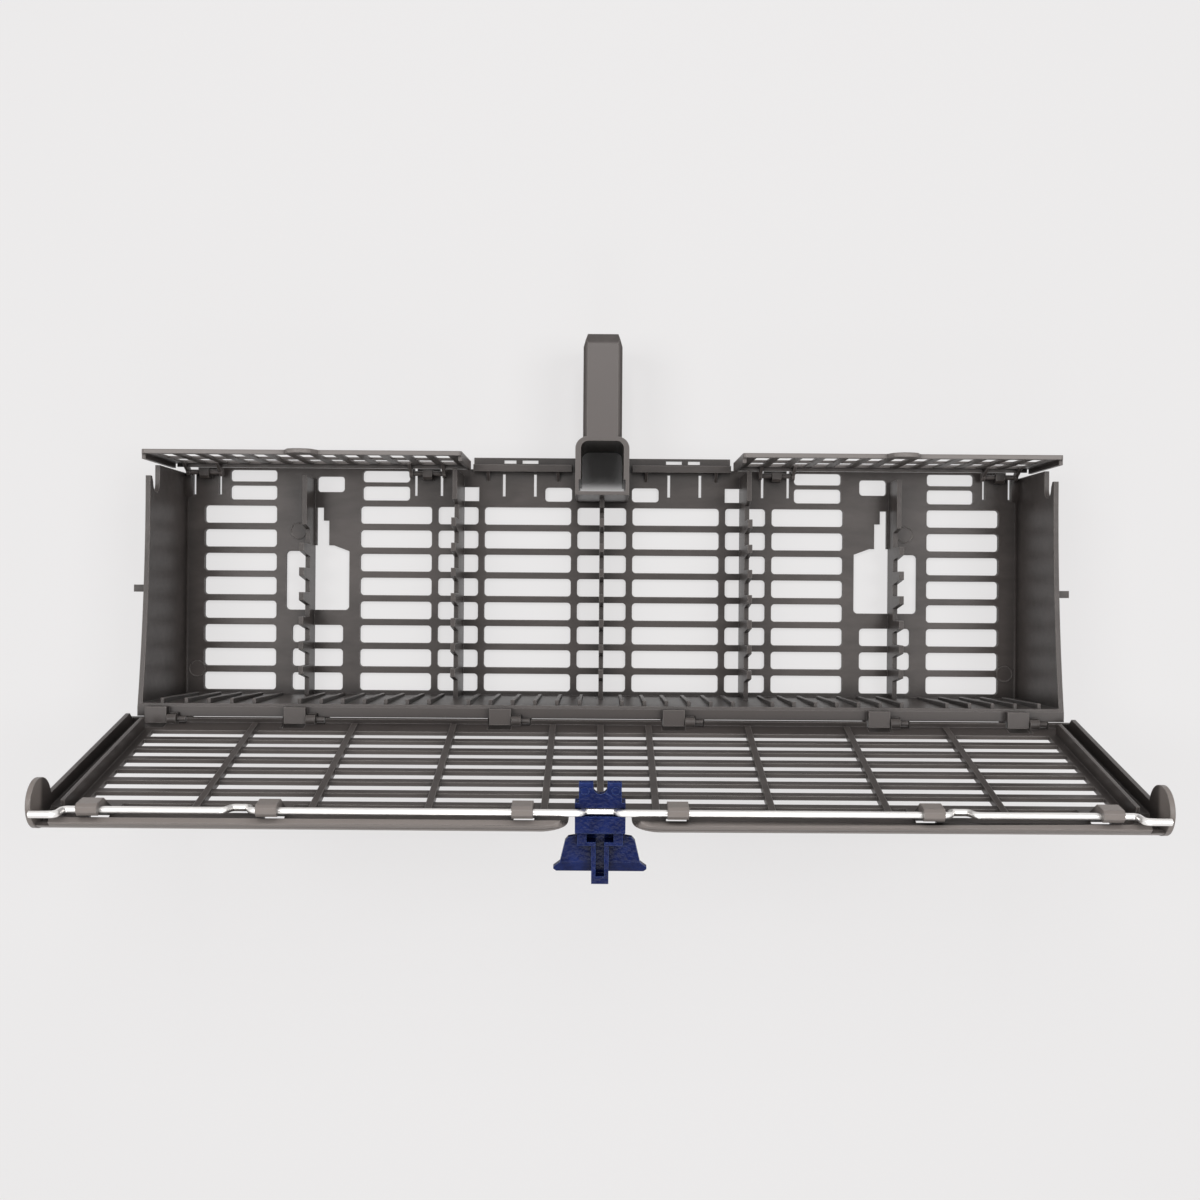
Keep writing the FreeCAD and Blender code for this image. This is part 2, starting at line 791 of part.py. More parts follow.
def cut_panel(body):
    """The rows of slots of the back panel, which the dividers cross."""
    low = slotTopRow - slotHeight / 2
    high = slotTopRow + slotHeight / 2
    half = dividerThick / 2
    skipped = slotPitch * (slotRows - keySlotRows)
    keys = sketch(body, "XY_Plane", panelThick)
    half_slot(keys, dividerKey - half, keySlotFrom, low - skipped, high - skipped)
    half_slot(keys, dividerKey + half, keySlotTo, low - skipped, high - skipped)
    repeat(body, [pocket(body, keys)], "Y_Axis", slotPitch, keySlotRows, turned=True)
    cuts = []
    for left, right in (endSlot, outerSlot, innerSlot):
        slots = sketch(body, "XY_Plane", panelThick)
        pair(slots, left, right, low, high, slotCorner)
        cuts.append(pocket(body, slots))
    slots = sketch(body, "XY_Plane", panelThick)
    half_slot(slots, dividerCell - half, cellSlot[0], low, high)
    half_slot(slots, dividerCell + half, cellSlot[1], low, high)
    half_slot(slots, half, middleSlotHalf, low, high)
    cuts.append(pocket(body, slots))
    repeat(body, cuts, "Y_Axis", slotPitch, slotRows, turned=True)


def cut_floor(body, floorLow):
    """Slots of the floor, which run from back to front."""
    first = floorSlotPitch * (floorSlotCount - 1) / 2
    slots = sketch(body, "XZ_Plane", -floorLow)
    rectangle(slots, -first - floorSlotWidth / 2, -first + floorSlotWidth / 2, floorSlotFrom, floorSlotTo)
    repeat(body, [pocket(body, slots, floorThick)], "X_Axis", floorSlotPitch, floorSlotCount)


def add_divider(body, place, top, plain, plainLow, front, first, count):
    """A divider with a plain upper part and a toothed front edge below it."""
    foot = floorTop - floorThick / 2
    corners = [(foot, 0.0), (top, 0.0), (top, plain), (plainLow, plain), (plainLow - 2, front)]
    for step in range(first, first + count):
        high = slotTopRow + slotPitch / 2 + toothRise - slotPitch * step
        corners += [
            (high, front),
            (high, front + toothDepth),
            (high - toothFront, front + toothDepth),
            (high - toothFront - toothSlope, front),
        ]
    plate = sketch(body, "YZ_Plane", place)
    outline(plate, corners + [(foot, front)])
    pad(body, plate, dividerThick, middle=True)


def add_dividers(body):
    for side in (1, -1):
        add_divider(body, dividerCell * side, cellTop, cellPlain, cellPlainLow, cellRoot, 1, 7)
        add_divider(body, dividerKey * side, keyTop, keyPlain, keyPlainLow, keyRoot, 2, 6)
    add_divider(body, Size(0.0, "0"), housingLow, cellPlain, middlePlainLow, cellRoot, 1, 7)


def add_rail(body):
    rail = sketch(body, "XY_Plane")
    pair(rail, railFrom, rimHalf, railLow, railHigh)
    pad(body, rail, railDepth)
    gussets = []
    for place in gussetPlaces:
        gusset = sketch(body, "YZ_Plane", place)
        outline(gusset, [
            (railLow + 1, 1.0),
            (railLow + 1, railDepth - 0.6),
            (railLow, railDepth - 0.6),
            (railLow - gussetReach, panelThick),
            (railLow - gussetReach, 1.0),
        ])
        gussets.append(pad(body, gusset, gussetThick, middle=True))
    mirror(body, gussets)


def hinge_centres():
    for place in hingePlaces:
        for side in (1, -1):
            yield place * side + hingeShift


def add_hinge_blocks(body, floorLow):
    """Blocks below the floor with the pins that the door clips onto."""
    relief = sketch(body, "XY_Plane", hingeZ, hingeY)
    blocks = sketch(body, "XY_Plane", frontDepthLow - lipThick - 0.6)
    pins = sketch(body, "XY_Plane", hingeZ, hingeY)
    room = clipLength / 2 + runGap * 2
    for centre in hinge_centres():
        face = centre - clipLength / 2 - runGap
        rectangle(relief, centre - room, centre + room, 0.0, clipRadius + 0.5)
        rectangle(blocks, face - blockLength, face, hingeY - blockUnder, floorLow + 1)
        rectangle(pins, face - 1, face + runGap + clipLength + pinTail, 0.0, pinRadius)
    spin(body, "Groove", relief)
    pad(body, blocks, hingeZ + blockFront - frontDepthLow + lipThick + 0.6)
    spin(body, "Revolution", pins)


def add_snap_hooks(body):
    """Open hooks on the spring tongues, for the pins of the lids."""
    bore = lidPinRadius + pinGap
    mouth = lidAxisY + root(bore * bore - lidHookMouth * lidHookMouth)
    front = lidAxisZ + bore + lidHookWall
    rear = lidAxisY - bore - lidHookWall - 0.6
    hooks = []
    for place in (tongueEnd, tongueOuter):
        hook = sketch(body, "YZ_Plane", place)
        outline(hook, [
            (rear, panelThick - 1),
            (lidHookTop, panelThick - 1),
            (lidHookTop, lidAxisZ - lidHookMouth),
            (mouth, lidAxisZ - lidHookMouth, None, (lidAxisY - bore, lidAxisZ)),
            (mouth, lidAxisZ + lidHookMouth),
            (lidHookTop, lidAxisZ + lidHookMouth),
            (lidHookTop, front),
            (rear + 1.5, front),
            (rear, front - 1.5),
        ])
        hooks.append(pad(body, hook, lidHookWidth, middle=True))
    mirror(body, hooks)


# Door, in its own frame at the hinge

def make_door():
    body = new_body("door")
    outer = doorPlateIn + doorPlateThick
    plate = sketch(body, "XY_Plane", doorPlateIn)
    rectangle(plate, -doorHalf, doorHalf, -beadHalf, doorPlateTop)
    pad(body, plate, doorPlateThick)

    bead = sketch(body, "YZ_Plane")
    rectangle(bead, -beadHalf, beadHalf, -beadHalf, outer)
    pad(body, bead, doorHalf * 2, middle=True)

    ribs = sketch(body, "XY_Plane", doorPlateIn - doorRibHeight)
    half = doorRibWidth / 2
    rectangle(ribs, -half, half, 3.0, latchNotch)
    for step in range(4):
        place = doorRibFirst + doorRibPitch * step
        pair(ribs, place - half, place + half, 3.0, doorPlateTop - 1)
    pad(body, ribs, doorRibHeight + 0.5)

    add_door_rim(body, outer)
    add_door_ends(body, outer)
    add_door_hinge(body, outer)
    add_wire_clips(body)
    cut_door_slots(body, outer)
    place_body(body, hingeY, hingeZ, doorAngle)
    return body


def cut_door_slots(body, outer):
    """Slots between the ribs; in the last row the plate stays whole at the wire clips."""
    half = doorRibWidth / 2
    low = doorSlotFirst - doorSlotHeight / 2
    high = doorSlotFirst + doorSlotHeight / 2
    ribs = [doorRibFirst + doorRibPitch * step for step in range(4)]
    last = doorSlotPitch * (doorSlotRows - 1)
    foot = wireClipHalf + 1
    ends, outers, inners = wireClipPlaces
    top = sketch(body, "XY_Plane", outer)
    for left, right in ((inners + foot, ribs[1] - half), (ribs[1] + half, ribs[2] - half),
                        (ribs[2] + half, outers - foot), (outers + foot, ribs[3] - half),
                        (ribs[3] + half, ends - foot)):
        pair(top, left, right, low + last, high + last)
    pocket(body, top, doorPlateThick)
    slots = sketch(body, "XY_Plane", outer)
    pair(slots, half, ribs[0] - half, low, high)
    for left, right in zip(ribs, ribs[1:] + [doorSlotEnd + half]):
        pair(slots, left + half, right - half, low, high)
    repeat(body, [pocket(body, slots, doorPlateThick)], "Y_Axis", doorSlotPitch, doorSlotRows - 1)


def add_door_rim(body, outer):
    """The flared rim, which bulges outwards and curls in over the latch wire."""
    inner = rimRadius - rimThick
    diagonal = 0.5 ** 0.5
    outerStart = rimMiddle - root(rimRadius * rimRadius - (outer + rimInside) * (outer + rimInside))
    innerStart = rimMiddle - root(inner * inner - (doorPlateIn + rimInside) * (doorPlateIn + rimInside))
    arch = sketch(body, "YZ_Plane", latchGap)
    outline(arch, [
        (outerStart, outer, None, (rimMiddle + rimRadius * 0.3, rimRadius * 0.953939 - rimInside)),
        (rimMiddle + rimRadius * sine(rimOuterEnd), rimRadius * cosine(rimOuterEnd) - rimInside),
        (rimMiddle + inner * sine(rimInnerEnd), inner * cosine(rimInnerEnd) - rimInside, None,
         (rimMiddle + inner * 0.3, inner * 0.953939 - rimInside)),
        (innerStart, doorPlateIn),
        (outerStart - 2, doorPlateIn),
        (outerStart - 2, outer),
    ])
    length = doorHalf - flangeThick - latchGap + 0.5
    mirror(body, [pad(body, arch, length)])

    ends = sketch(body, "YZ_Plane", rimCutFrom)
    rectangle(ends, rimMiddle + 1, rimMiddle + rimRadius + 4, -rimRadius, doorPlateIn + 0.3)
    mirror(body, [pocket(body, ends, doorHalf - flangeThick - rimCutFrom, turned=True)])

    top = rimMiddle + rimRadius * sine(rimOuterEnd)
    middle = sketch(body, "XY_Plane", outer + rimRadius)
    rectangle(middle, -latchGap, latchGap, latchNotch, top + 2)
    pocket(body, middle)
    rounded = sketch(body, "XY_Plane", outer + rimRadius)
    outline(rounded, [
        (latchGap - 0.5, top - rimEndRound),
        (latchGap, top - rimEndRound, None,
         (latchGap + rimEndRound * (1 - diagonal), top - rimEndRound * (1 - diagonal))),
        (latchGap + rimEndRound, top),
        (latchGap + rimEndRound, top + 1),
        (latchGap - 0.5, top + 1),
    ])
    mirror(body, [pocket(body, rounded)])


def add_door_ends(body, outer):
    """Channels along both ends, closed by round caps at the rim."""
    inside = doorHalf - flangeThick
    flange = sketch(body, "YZ_Plane", inside)
    outline(flange, [
        (beadHalf, outer),
        (beadHalf, doorPlateIn),
        (6.0, -flangeHeight),
        (rimMiddle, -flangeHeight),
        (rimMiddle, outer),
    ])
    flangePad = pad(body, flange, flangeThick)
    rib = sketch(body, "YZ_Plane", innerRibPlace)
    outline(rib, [
        (innerRibStart, outer - 1),
        (innerRibStart, -flangeHeight + 1.5),
        (innerRibStart + 1.5, -flangeHeight),
        (innerRibStop, -flangeHeight),
        (innerRibStop, outer - 1),
    ])
    ribPad = pad(body, rib, innerRibThick)
    cap = sketch(body, "YZ_Plane", inside)
    disc(cap, rimMiddle, -capInside, capRadius)
    mirror(body, [flangePad, ribPad, pad(body, cap, capThick)])


def add_door_hinge(body, outer):
    """Clips that turn on the pins of the tub, with the door cut away around its blocks."""
    gaps = sketch(body, "XY_Plane", outer + 1)
    swing = root((hingeY - floorTop + floorThick) * (hingeY - floorTop + floorThick)
                 + (hingeZ - frontDepthLow + lipThick + 0.6) * (hingeZ - frontDepthLow + lipThick + 0.6))
    for centre in hinge_centres():
        near = centre - clipLength / 2
        far = centre + clipLength / 2
        rectangle(gaps, near - runGap - blockLength - 0.6, near, -beadHalf - 2, swing + 0.8)
        rectangle(gaps, far, far + pinTail + 0.6, -beadHalf - 2, pinRadius + 1.2)
    pocket(body, gaps)
    bore = pinRadius + pinGap
    clips = sketch(body, "XY_Plane")
    bores = sketch(body, "XY_Plane")
    mouths = sketch(body, "XY_Plane", -clipRadius - 1)
    for centre in hinge_centres():
        near = centre - clipLength / 2
        far = centre + clipLength / 2
        rectangle(clips, near, far, 0.0, clipRadius)
        rectangle(bores, near - 0.1, far + 0.1, 0.0, bore)
        rectangle(mouths, near - 0.1, far + 0.1, -clipMouth, clipMouth)
    spin(body, "Revolution", clips)
    spin(body, "Groove", bores)
    pocket(body, mouths, clipRadius + 1, turned=True)


def add_wire_clips(body):
    """Hooks that hold the latch wire behind the rim, each with a window in front of it."""
    windows = sketch(body, "XY_Plane", rimRadius)
    for place in wireClipPlaces:
        pair(windows, place - wireClipHalf, place + wireClipHalf, windowLow, windowHigh)
    pocket(body, windows, rimRadius + 2)
    bore = wireRadius + pinGap
    lips = root(bore * bore - wireClipMouth * wireClipMouth)
    clips = []
    for place in wireClipPlaces:
        clip = sketch(body, "YZ_Plane", place)
        outline(clip, [
            (windowLow - 3.1, doorPlateIn + 0.3),
            (windowLow - 0.3, doorPlateIn + 0.3),
            (wirePlace - 3.2, 2.2 - wireInside),
            (wirePlace - lips, wireClipMouth - wireInside, None, (wirePlace, -wireInside - bore)),
            (wirePlace + lips, wireClipMouth - wireInside),
            (wirePlace + 3.2, wireClipMouth - wireInside),
            (wirePlace + 4.4, -wireInside - 0.6),
            (wirePlace + 4.0, -wireInside - 3.6),
            (wirePlace + 2.4, -wireInside - 4.8),
            (wirePlace - 4.4, -wireInside - 4.2),
        ])
        clips.append(pad(body, clip, wireClipHalf * 2, middle=True))
    mirror(body, clips)


# Latch: the bent wire and the lever pressed onto its middle

def make_wire():
    body = new_body("latch_wire")
    side = crankSidePlace
    drop = crankSlope / 2
    half = [
        (crankMiddleHalf, -crankMiddleReach, wireBend),
        (crankMiddleHalf + crankSlope, 0.0, wireBend),
        (side - crankSideHalf - drop, 0.0, wireBend),
        (side - crankSideHalf + drop, -crankSideReach, wireBend),
        (side + crankSideHalf - drop, -crankSideReach, wireBend),
        (side + crankSideHalf + drop, 0.0, wireBend),
        (crankEndFrom, 0.0, wireBend),
        (crankEndFrom, crankReach, wireBend),
        (wireHalf, crankReach),
    ]
    corners = [(-c[0],) + c[1:] for c in reversed(half)] + half
    spine = sketch(body, "XY_Plane")
    outline(spine, corners, closed=False)
    section = sketch(body, "YZ_Plane", -wireHalf)
    disc(section, crankReach, 0.0, wireRadius)
    bar = body.newObject("PartDesign::AdditivePipe", "Bar")
    bar.Profile = section.finish()
    bar.Spine = spine.finish()
    bar.Mode = "Frenet"
    body.Tip = bar
    along, out = wirePlace, -wireInside
    place_body(body, hingeY + along * cosine(doorAngle) - out * sine(doorAngle),
               hingeZ + along * sine(doorAngle) + out * cosine(doorAngle), doorAngle - crankTilt)
    return body


def make_lever():
    body = new_body("latch_lever")
    seatFloor = -(crankMiddleReach * cosine(crankTilt)) - wireRadius
    seat = sketch(body, "YZ_Plane")
    outline(seat, [
        (seatFloor - seatWall, -seatFront),
        (forkThick - forkLow, -seatFront),
        (forkThick - forkLow, -seatNear),
        (seatFloor, -seatNear),
        (seatFloor, seatFar),
        (-bodyHigh, seatFar),
        (-bodyHigh, bodyOut),
        (-bodyLow, bodyOut),
        (-bodyLow, bodyOut - 5.5),
        (seatFloor - seatWall, seatFar),
    ])
    pad(body, seat, seatHalf * 2, middle=True)

    fork = sketch(body, "YZ_Plane")
    rectangle(fork, -forkLow, forkThick - forkLow, -forkTip, -seatFront + 0.5)
    pad(body, fork, forkHalf * 2, middle=True)
    notch = sketch(body, "XZ_Plane", bodyLow + 10)
    outline(notch, [
        (-forkNotchHalf, -forkTip - 1),
        (forkNotchHalf, -forkTip - 1),
        (forkNotchHalf, forkNotchDepth - forkTip - forkNotchHalf, None, (0.0, forkNotchDepth - forkTip)),
        (-forkNotchHalf, forkNotchDepth - forkTip - forkNotchHalf),
    ])
    pocket(body, notch)

    frame = sketch(body, "YZ_Plane")
    outline(frame, [
        (-paddleHigh - 0.5, bodyOut - 1),
        (-frameHigh, bodyOut - 1),
        (-frameHigh, frameOut),
        (-paddleHigh - 0.5, frameOut + 2),
    ])
    pad(body, frame, frameHalf * 2, middle=True)
    rails = sketch(body, "YZ_Plane")
    rectangle(rails, -paddleHigh - 0.8, -railDeep, frameOut - 1.5, railTip)
    pad(body, rails, railHalf * 2, middle=True)
    window = sketch(body, "XZ_Plane", paddleHigh)
    outline(window, [
        (-windowHalf, bodyOut + barThick),
        (windowHalf, bodyOut + barThick),
        (windowHalf, frameOut - 1.5),
        (railSlotHalf, frameOut - 1.5),
        (railSlotHalf, railSlotEnd),
        (-railSlotHalf, railSlotEnd),
        (-railSlotHalf, frameOut - 1.5),
        (-windowHalf, frameOut - 1.5),
    ])
    pocket(body, window)

    paddle = sketch(body, "YZ_Plane")
    outline(paddle, [
        (-paddleHigh, bodyOut - 1),
        (-paddleHigh, paddleBend),
        (-paddleHigh - paddleDroop, paddleOut),
        (-paddleHigh - paddleDroop - paddleThick, paddleOut - 0.6),
        (-paddleHigh - paddleThick, paddleBend - 0.4),
        (-paddleHigh - paddleThick, bodyOut - 1),
    ])
    pad(body, paddle, paddleHalf * 2, middle=True)
    wings = sketch(body, "XZ_Plane", paddleHigh + paddleThick + paddleDroop + 2)
    for side in (1, -1):
        outline(wings, [
            (seatHalf * side, bodyOut - 2),
            ((paddleHalf + 1) * side, bodyOut - 2),
            ((paddleHalf + 1) * side, paddleOut + 1),
            ((paddleHalf - 1.2) * side, paddleOut + 1),
            ((paddleHalf - 1.2) * side, paddleOut),
            (paddleHalf * side, paddleOut - 1.2),
            (paddleHalf * side, paddleOut - 2.2),
            ((paddleHalf - 2.8) * side, paddleBend),
            ((paddleHalf - 5.0) * side, bodyOut + 3.1),
            ((paddleHalf - 6.4) * side, bodyOut + 1.4),
            (seatHalf * side, bodyOut + 0.9),
        ])
    pocket(body, wings)
    along, out = wirePlace, -wireInside
    place_body(body, hingeY + along * cosine(doorAngle) - out * sine(doorAngle),
               hingeZ + along * sine(doorAngle) + out * cosine(doorAngle), doorAngle)
    return body


# Lids, each in its own frame on the axis of its pins

def make_lid(label, side):
    body = new_body(label)
    under = lidUnder - lidAxisY
    rear = lidRear - lidAxisZ
    front = lidFront - lidAxisZ
    plate = sketch(body, "XZ_Plane", -under)
    outline(plate, [
        (lidFrom * side, rear, lidCorner),
        (lidTo * side, rear, lidCorner),
        (lidTo * side, front, lidCorner),
        ((lidTabPlace + lidTabHalf) * side, front),
        ((lidTabPlace + lidTabHalf * 0.7) * side, front + lidTabReach * 0.72, None,
         (lidTabPlace * side, front + lidTabReach)),
        ((lidTabPlace - lidTabHalf * 0.7) * side, front + lidTabReach * 0.72),
        ((lidTabPlace - lidTabHalf) * side, front),
        (lidFrom * side, front, lidCorner),
    ])
    pad(body, plate, lidThick, turned=True)

    edges = sketch(body, "XZ_Plane", -under)
    for left, right in ((lidFrom, lidFrom + lidEdgeThick), (lidTo - lidEdgeThick, lidTo)):
        rectangle(edges, left * side, right * side, rear + lidCorner, front - lidCorner)
    pad(body, edges, lidEdgeDrop)

    slots = sketch(body, "XZ_Plane", -under)
    left = lidFrom + lidSlotInset
    for low, high in lidSlotRows:
        rectangle(slots, left * side, (left + lidSlotWidth) * side, low - lidAxisZ, high - lidAxisZ)
    cut = pocket(body, slots, lidThick)
    repeat(body, [cut], "X_Axis", lidSlotPitch, lidSlotCount, turned=side < 0)

    for place in (tongueEnd, tongueOuter):
        for shift in (-1, 1):
            lug = sketch(body, "YZ_Plane", (place + lidLugHalf * shift) * side)
            outline(lug, [
                (0.0, -lidLugRadius, None, (-lidLugRadius, 0.0)),
                (0.0, lidLugRadius),
                (under, rear + 6.5),
                (under + 1, rear + 6.5),
                (under + 1, rear + 1.0),
                (under, rear + 1.0),
                (lidLugRadius, 0.0),
            ])
            pad(body, lug, lidLugThick, middle=True)
        pin = sketch(body, "YZ_Plane", place * side)
        disc(pin, 0.0, 0.0, lidPinRadius)
        pad(body, pin, lidLugHalf * 2, middle=True)
    place_body(body, lidAxisY, lidAxisZ)
    return body


# Handle, with the tube that houses the latch at its foot

def make_handle():
    body = new_body("handle")
    block = sketch(body, "XY_Plane")
    outline(block, [
        (-housingHalf, housingLow),
        (housingHalf, housingLow),
        (housingHalf, housingHigh, housingCorner),
        (-housingHalf, housingHigh, housingCorner),
    ])
    pad(body, block, housingDepth)
    bore = sketch(body, "XY_Plane", housingDepth)
    thick = housingHalf - housingSide
    thin = housingHalf - housingThin
    outline(bore, [
        (-thin, housingLow + housingThin),
        (thin, housingLow + housingThin),
        (thin, housingStep),
        (thick, housingStep),
        (thick, housingHigh - housingRoof, housingCorner - housingRoof),
        (-thick, housingHigh - housingRoof, housingCorner - housingRoof),
        (-thick, housingStep),
        (-thin, housingStep),
    ])
    pocket(body, bore)

    foot = housingHigh - 1
    handTop = gripTop - gripBar
    handFront = housingDepth - gripBar
    handRear = gripRear + gripRearBar
    loop = sketch(body, "YZ_Plane")
    outline(loop, [
        (foot, handFront),
        (foot, housingDepth),
        (gripTop - gripSlant, housingDepth),
        (gripTop, housingDepth - gripSlant),
        (gripTop, handRear),
        (handTop, handRear),
        (handTop, handFront),
    ])
    pad(body, loop, gripHalf * 2, middle=True)
    back = sketch(body, "YZ_Plane")
    outline(back, [
        (foot, gripRear),
        (gripTop - gripSlant, gripRear),
        (gripTop, gripRear + gripSlant),
        (gripTop, handRear + 1),
        (handTop, handRear + 1),
        (handTop, handRear),
        (foot, handRear),
    ])
    pad(body, back, gripRearHalf * 2, middle=True)

    core = sketch(body, "YZ_Plane")
    outline(core, [
        (housingHigh + 0.5, handFront - 1),
        (housingHigh + 0.5, housingDepth - gripWall),
        (gripTop - gripSlant - 1, housingDepth - gripWall),
        (gripTop - gripWall, housingDepth - gripSlant - 1),
        (gripTop - gripWall, handRear + 2.4),
        (handTop - 1, handRear + 2.4),
        (handTop - 1, handFront - 1),
    ])
    pocket(body, core, (gripHalf - gripWall) * 2, middle=True)

    ends = sketch(body, "YZ_Plane")
    outline(ends, [
        (housingHigh + 0.001, handFront - 1),
        (housingHigh + 0.001, housingDepth - gripWall),
        (housingHigh + gripFoot - 2, housingDepth - gripWall),
        (housingHigh + gripFoot + 6, handFront - 1),
    ])
    pocket(body, ends, gripHalf * 2 + 2, middle=True)

    bevel = sketch(body, "XZ_Plane", -housingHigh)
    for side in (1, -1):
        outline(bevel, [
            (gripFaceHalf * side, housingDepth + 1),
            (gripFaceHalf * side, housingDepth),
            (gripHalf * side, housingDepth - gripWall),
            ((gripHalf + 1) * side, housingDepth - gripWall),
            ((gripHalf + 1) * side, housingDepth + 1),
        ])
    pocket(body, bevel)
    return body


pieces = [
    make_tub(),
    make_handle(),
    make_door(),
    make_wire(),
    make_lever(),
    make_lid("lid_left", -1),
    make_lid("lid_right", 1),
]
doc.recompute()

for item in doc.Objects:
    if "Invalid" in item.State or "Error" in item.State:
        raise RuntimeError(f"{item.Name} of {item.getParentGeoFeatureGroup()} failed: {item.State}")
os.makedirs("parts", exist_ok=True)
for item in pieces:
    if not item.Shape.isValid() or item.Shape.isNull():
        raise RuntimeError(f"{item.Label} is not a valid solid")
    box = item.Shape.BoundBox
    print(item.Label, len(item.Shape.Solids), round(item.Shape.Volume), [round(v, 2) for v in (
        box.XMin, box.XMax, box.YMin, box.YMax, box.ZMin, box.ZMax)])
    item.Shape.exportStep(f"parts/{item.Label}.step")
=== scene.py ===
import math

import bmesh
import bpy
import numpy as np
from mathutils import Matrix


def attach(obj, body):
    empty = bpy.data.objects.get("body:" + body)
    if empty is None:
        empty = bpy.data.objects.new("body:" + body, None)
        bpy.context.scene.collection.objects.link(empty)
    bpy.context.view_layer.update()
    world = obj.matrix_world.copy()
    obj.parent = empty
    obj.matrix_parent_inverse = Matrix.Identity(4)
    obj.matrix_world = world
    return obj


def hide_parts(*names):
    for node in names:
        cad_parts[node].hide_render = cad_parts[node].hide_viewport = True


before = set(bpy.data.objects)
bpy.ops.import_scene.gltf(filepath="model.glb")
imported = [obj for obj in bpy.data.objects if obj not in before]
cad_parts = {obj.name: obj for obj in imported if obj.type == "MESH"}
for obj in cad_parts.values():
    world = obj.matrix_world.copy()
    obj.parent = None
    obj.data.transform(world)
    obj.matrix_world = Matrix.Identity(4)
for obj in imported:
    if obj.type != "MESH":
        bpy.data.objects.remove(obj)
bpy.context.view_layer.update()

# Cutlery basket of a dishwasher, lying on its back with its front door leant open.
# X runs along it, Y towards the carrying handle, Z up from the table, all in metres.
print("stage: packed model loaded")


# Shared effects, each a shader group that puts out values or normals

def nodeIn(tree, kind, **settings):
    node = tree.nodes.new(kind)
    for key, value in settings.items():
        setattr(node, key, value)
    return node


def newGroup(name, takes, gives):
    group = bpy.data.node_groups.new(name, "ShaderNodeTree")
    for label, kind, value in takes:
        socket = group.interface.new_socket(name=label, in_out="INPUT", socket_type=kind)
        if value is not None:
            socket.default_value = value
    for label, kind in gives:
        group.interface.new_socket(name=label, in_out="OUTPUT", socket_type=kind)
    return group, nodeIn(group, "NodeGroupInput"), nodeIn(group, "NodeGroupOutput")


def makeRoundEdges():
    # Edge = how far the normal, averaged over a small ball, turns away from the face's own
    group, takes, gives = newGroup(
        "roundEdges",
        [("Radius", "NodeSocketFloat", 0.0003), ("Gain", "NodeSocketFloat", 4.0)],
        [("Normal", "NodeSocketVector"), ("Edge", "NodeSocketFloat")],
    )
    bevel = nodeIn(group, "ShaderNodeBevel", samples=4)
    face = nodeIn(group, "ShaderNodeNewGeometry")
    dot = nodeIn(group, "ShaderNodeVectorMath", operation="DOT_PRODUCT")
    away = nodeIn(group, "ShaderNodeMath", operation="SUBTRACT")
    away.inputs[0].default_value = 1.0
    gain = nodeIn(group, "ShaderNodeMath", operation="MULTIPLY", use_clamp=True)
    link = group.links.new
    link(takes.outputs["Radius"], bevel.inputs["Radius"])
    link(bevel.outputs["Normal"], dot.inputs[0])
    link(face.outputs["Normal"], dot.inputs[1])
    link(dot.outputs["Value"], away.inputs[1])
    link(away.outputs["Value"], gain.inputs[0])
    link(takes.outputs["Gain"], gain.inputs[1])
    link(bevel.outputs["Normal"], gives.inputs["Normal"])
    link(gain.outputs["Value"], gives.inputs["Edge"])
    return group


def makeSparkTexture():
    # Height = two thirds noise and one third cell distance, both on object coordinates over Grain
    group, takes, gives = newGroup(
        "sparkTexture",
        [("Grain", "NodeSocketFloat", 0.0004), ("Depth", "NodeSocketFloat", 0.00002),
         ("Normal", "NodeSocketVector", None)],
        [("Normal", "NodeSocketVector"), ("Height", "NodeSocketFloat")],
    )
    where = nodeIn(group, "ShaderNodeTexCoord")
    scale = nodeIn(group, "ShaderNodeMath", operation="DIVIDE")
    scale.inputs[0].default_value = 1.0
    noise = nodeIn(group, "ShaderNodeTexNoise")
    noise.inputs["Detail"].default_value = 2.0
    noise.inputs["Roughness"].default_value = 0.6
    cells = nodeIn(group, "ShaderNodeTexVoronoi", feature="SMOOTH_F1")
    blend = nodeIn(group, "ShaderNodeMix", data_type="FLOAT")
    blend.inputs["Factor"].default_value = 0.34
    bump = nodeIn(group, "ShaderNodeBump")
    bump.inputs["Strength"].default_value = 1.0
    link = group.links.new
    link(takes.outputs["Grain"], scale.inputs[1])
    for texture in (noise, cells):
        link(where.outputs["Object"], texture.inputs["Vector"])
        link(scale.outputs["Value"], texture.inputs["Scale"])
    link(noise.outputs["Fac"], blend.inputs["A"])
    link(cells.outputs["Distance"], blend.inputs["B"])
    link(blend.outputs["Result"], bump.inputs["Height"])
    link(takes.outputs["Depth"], bump.inputs["Distance"])
    link(takes.outputs["Normal"], bump.inputs["Normal"])
    link(bump.outputs["Normal"], gives.inputs["Normal"])
    link(blend.outputs["Result"], gives.inputs["Height"])
    return group


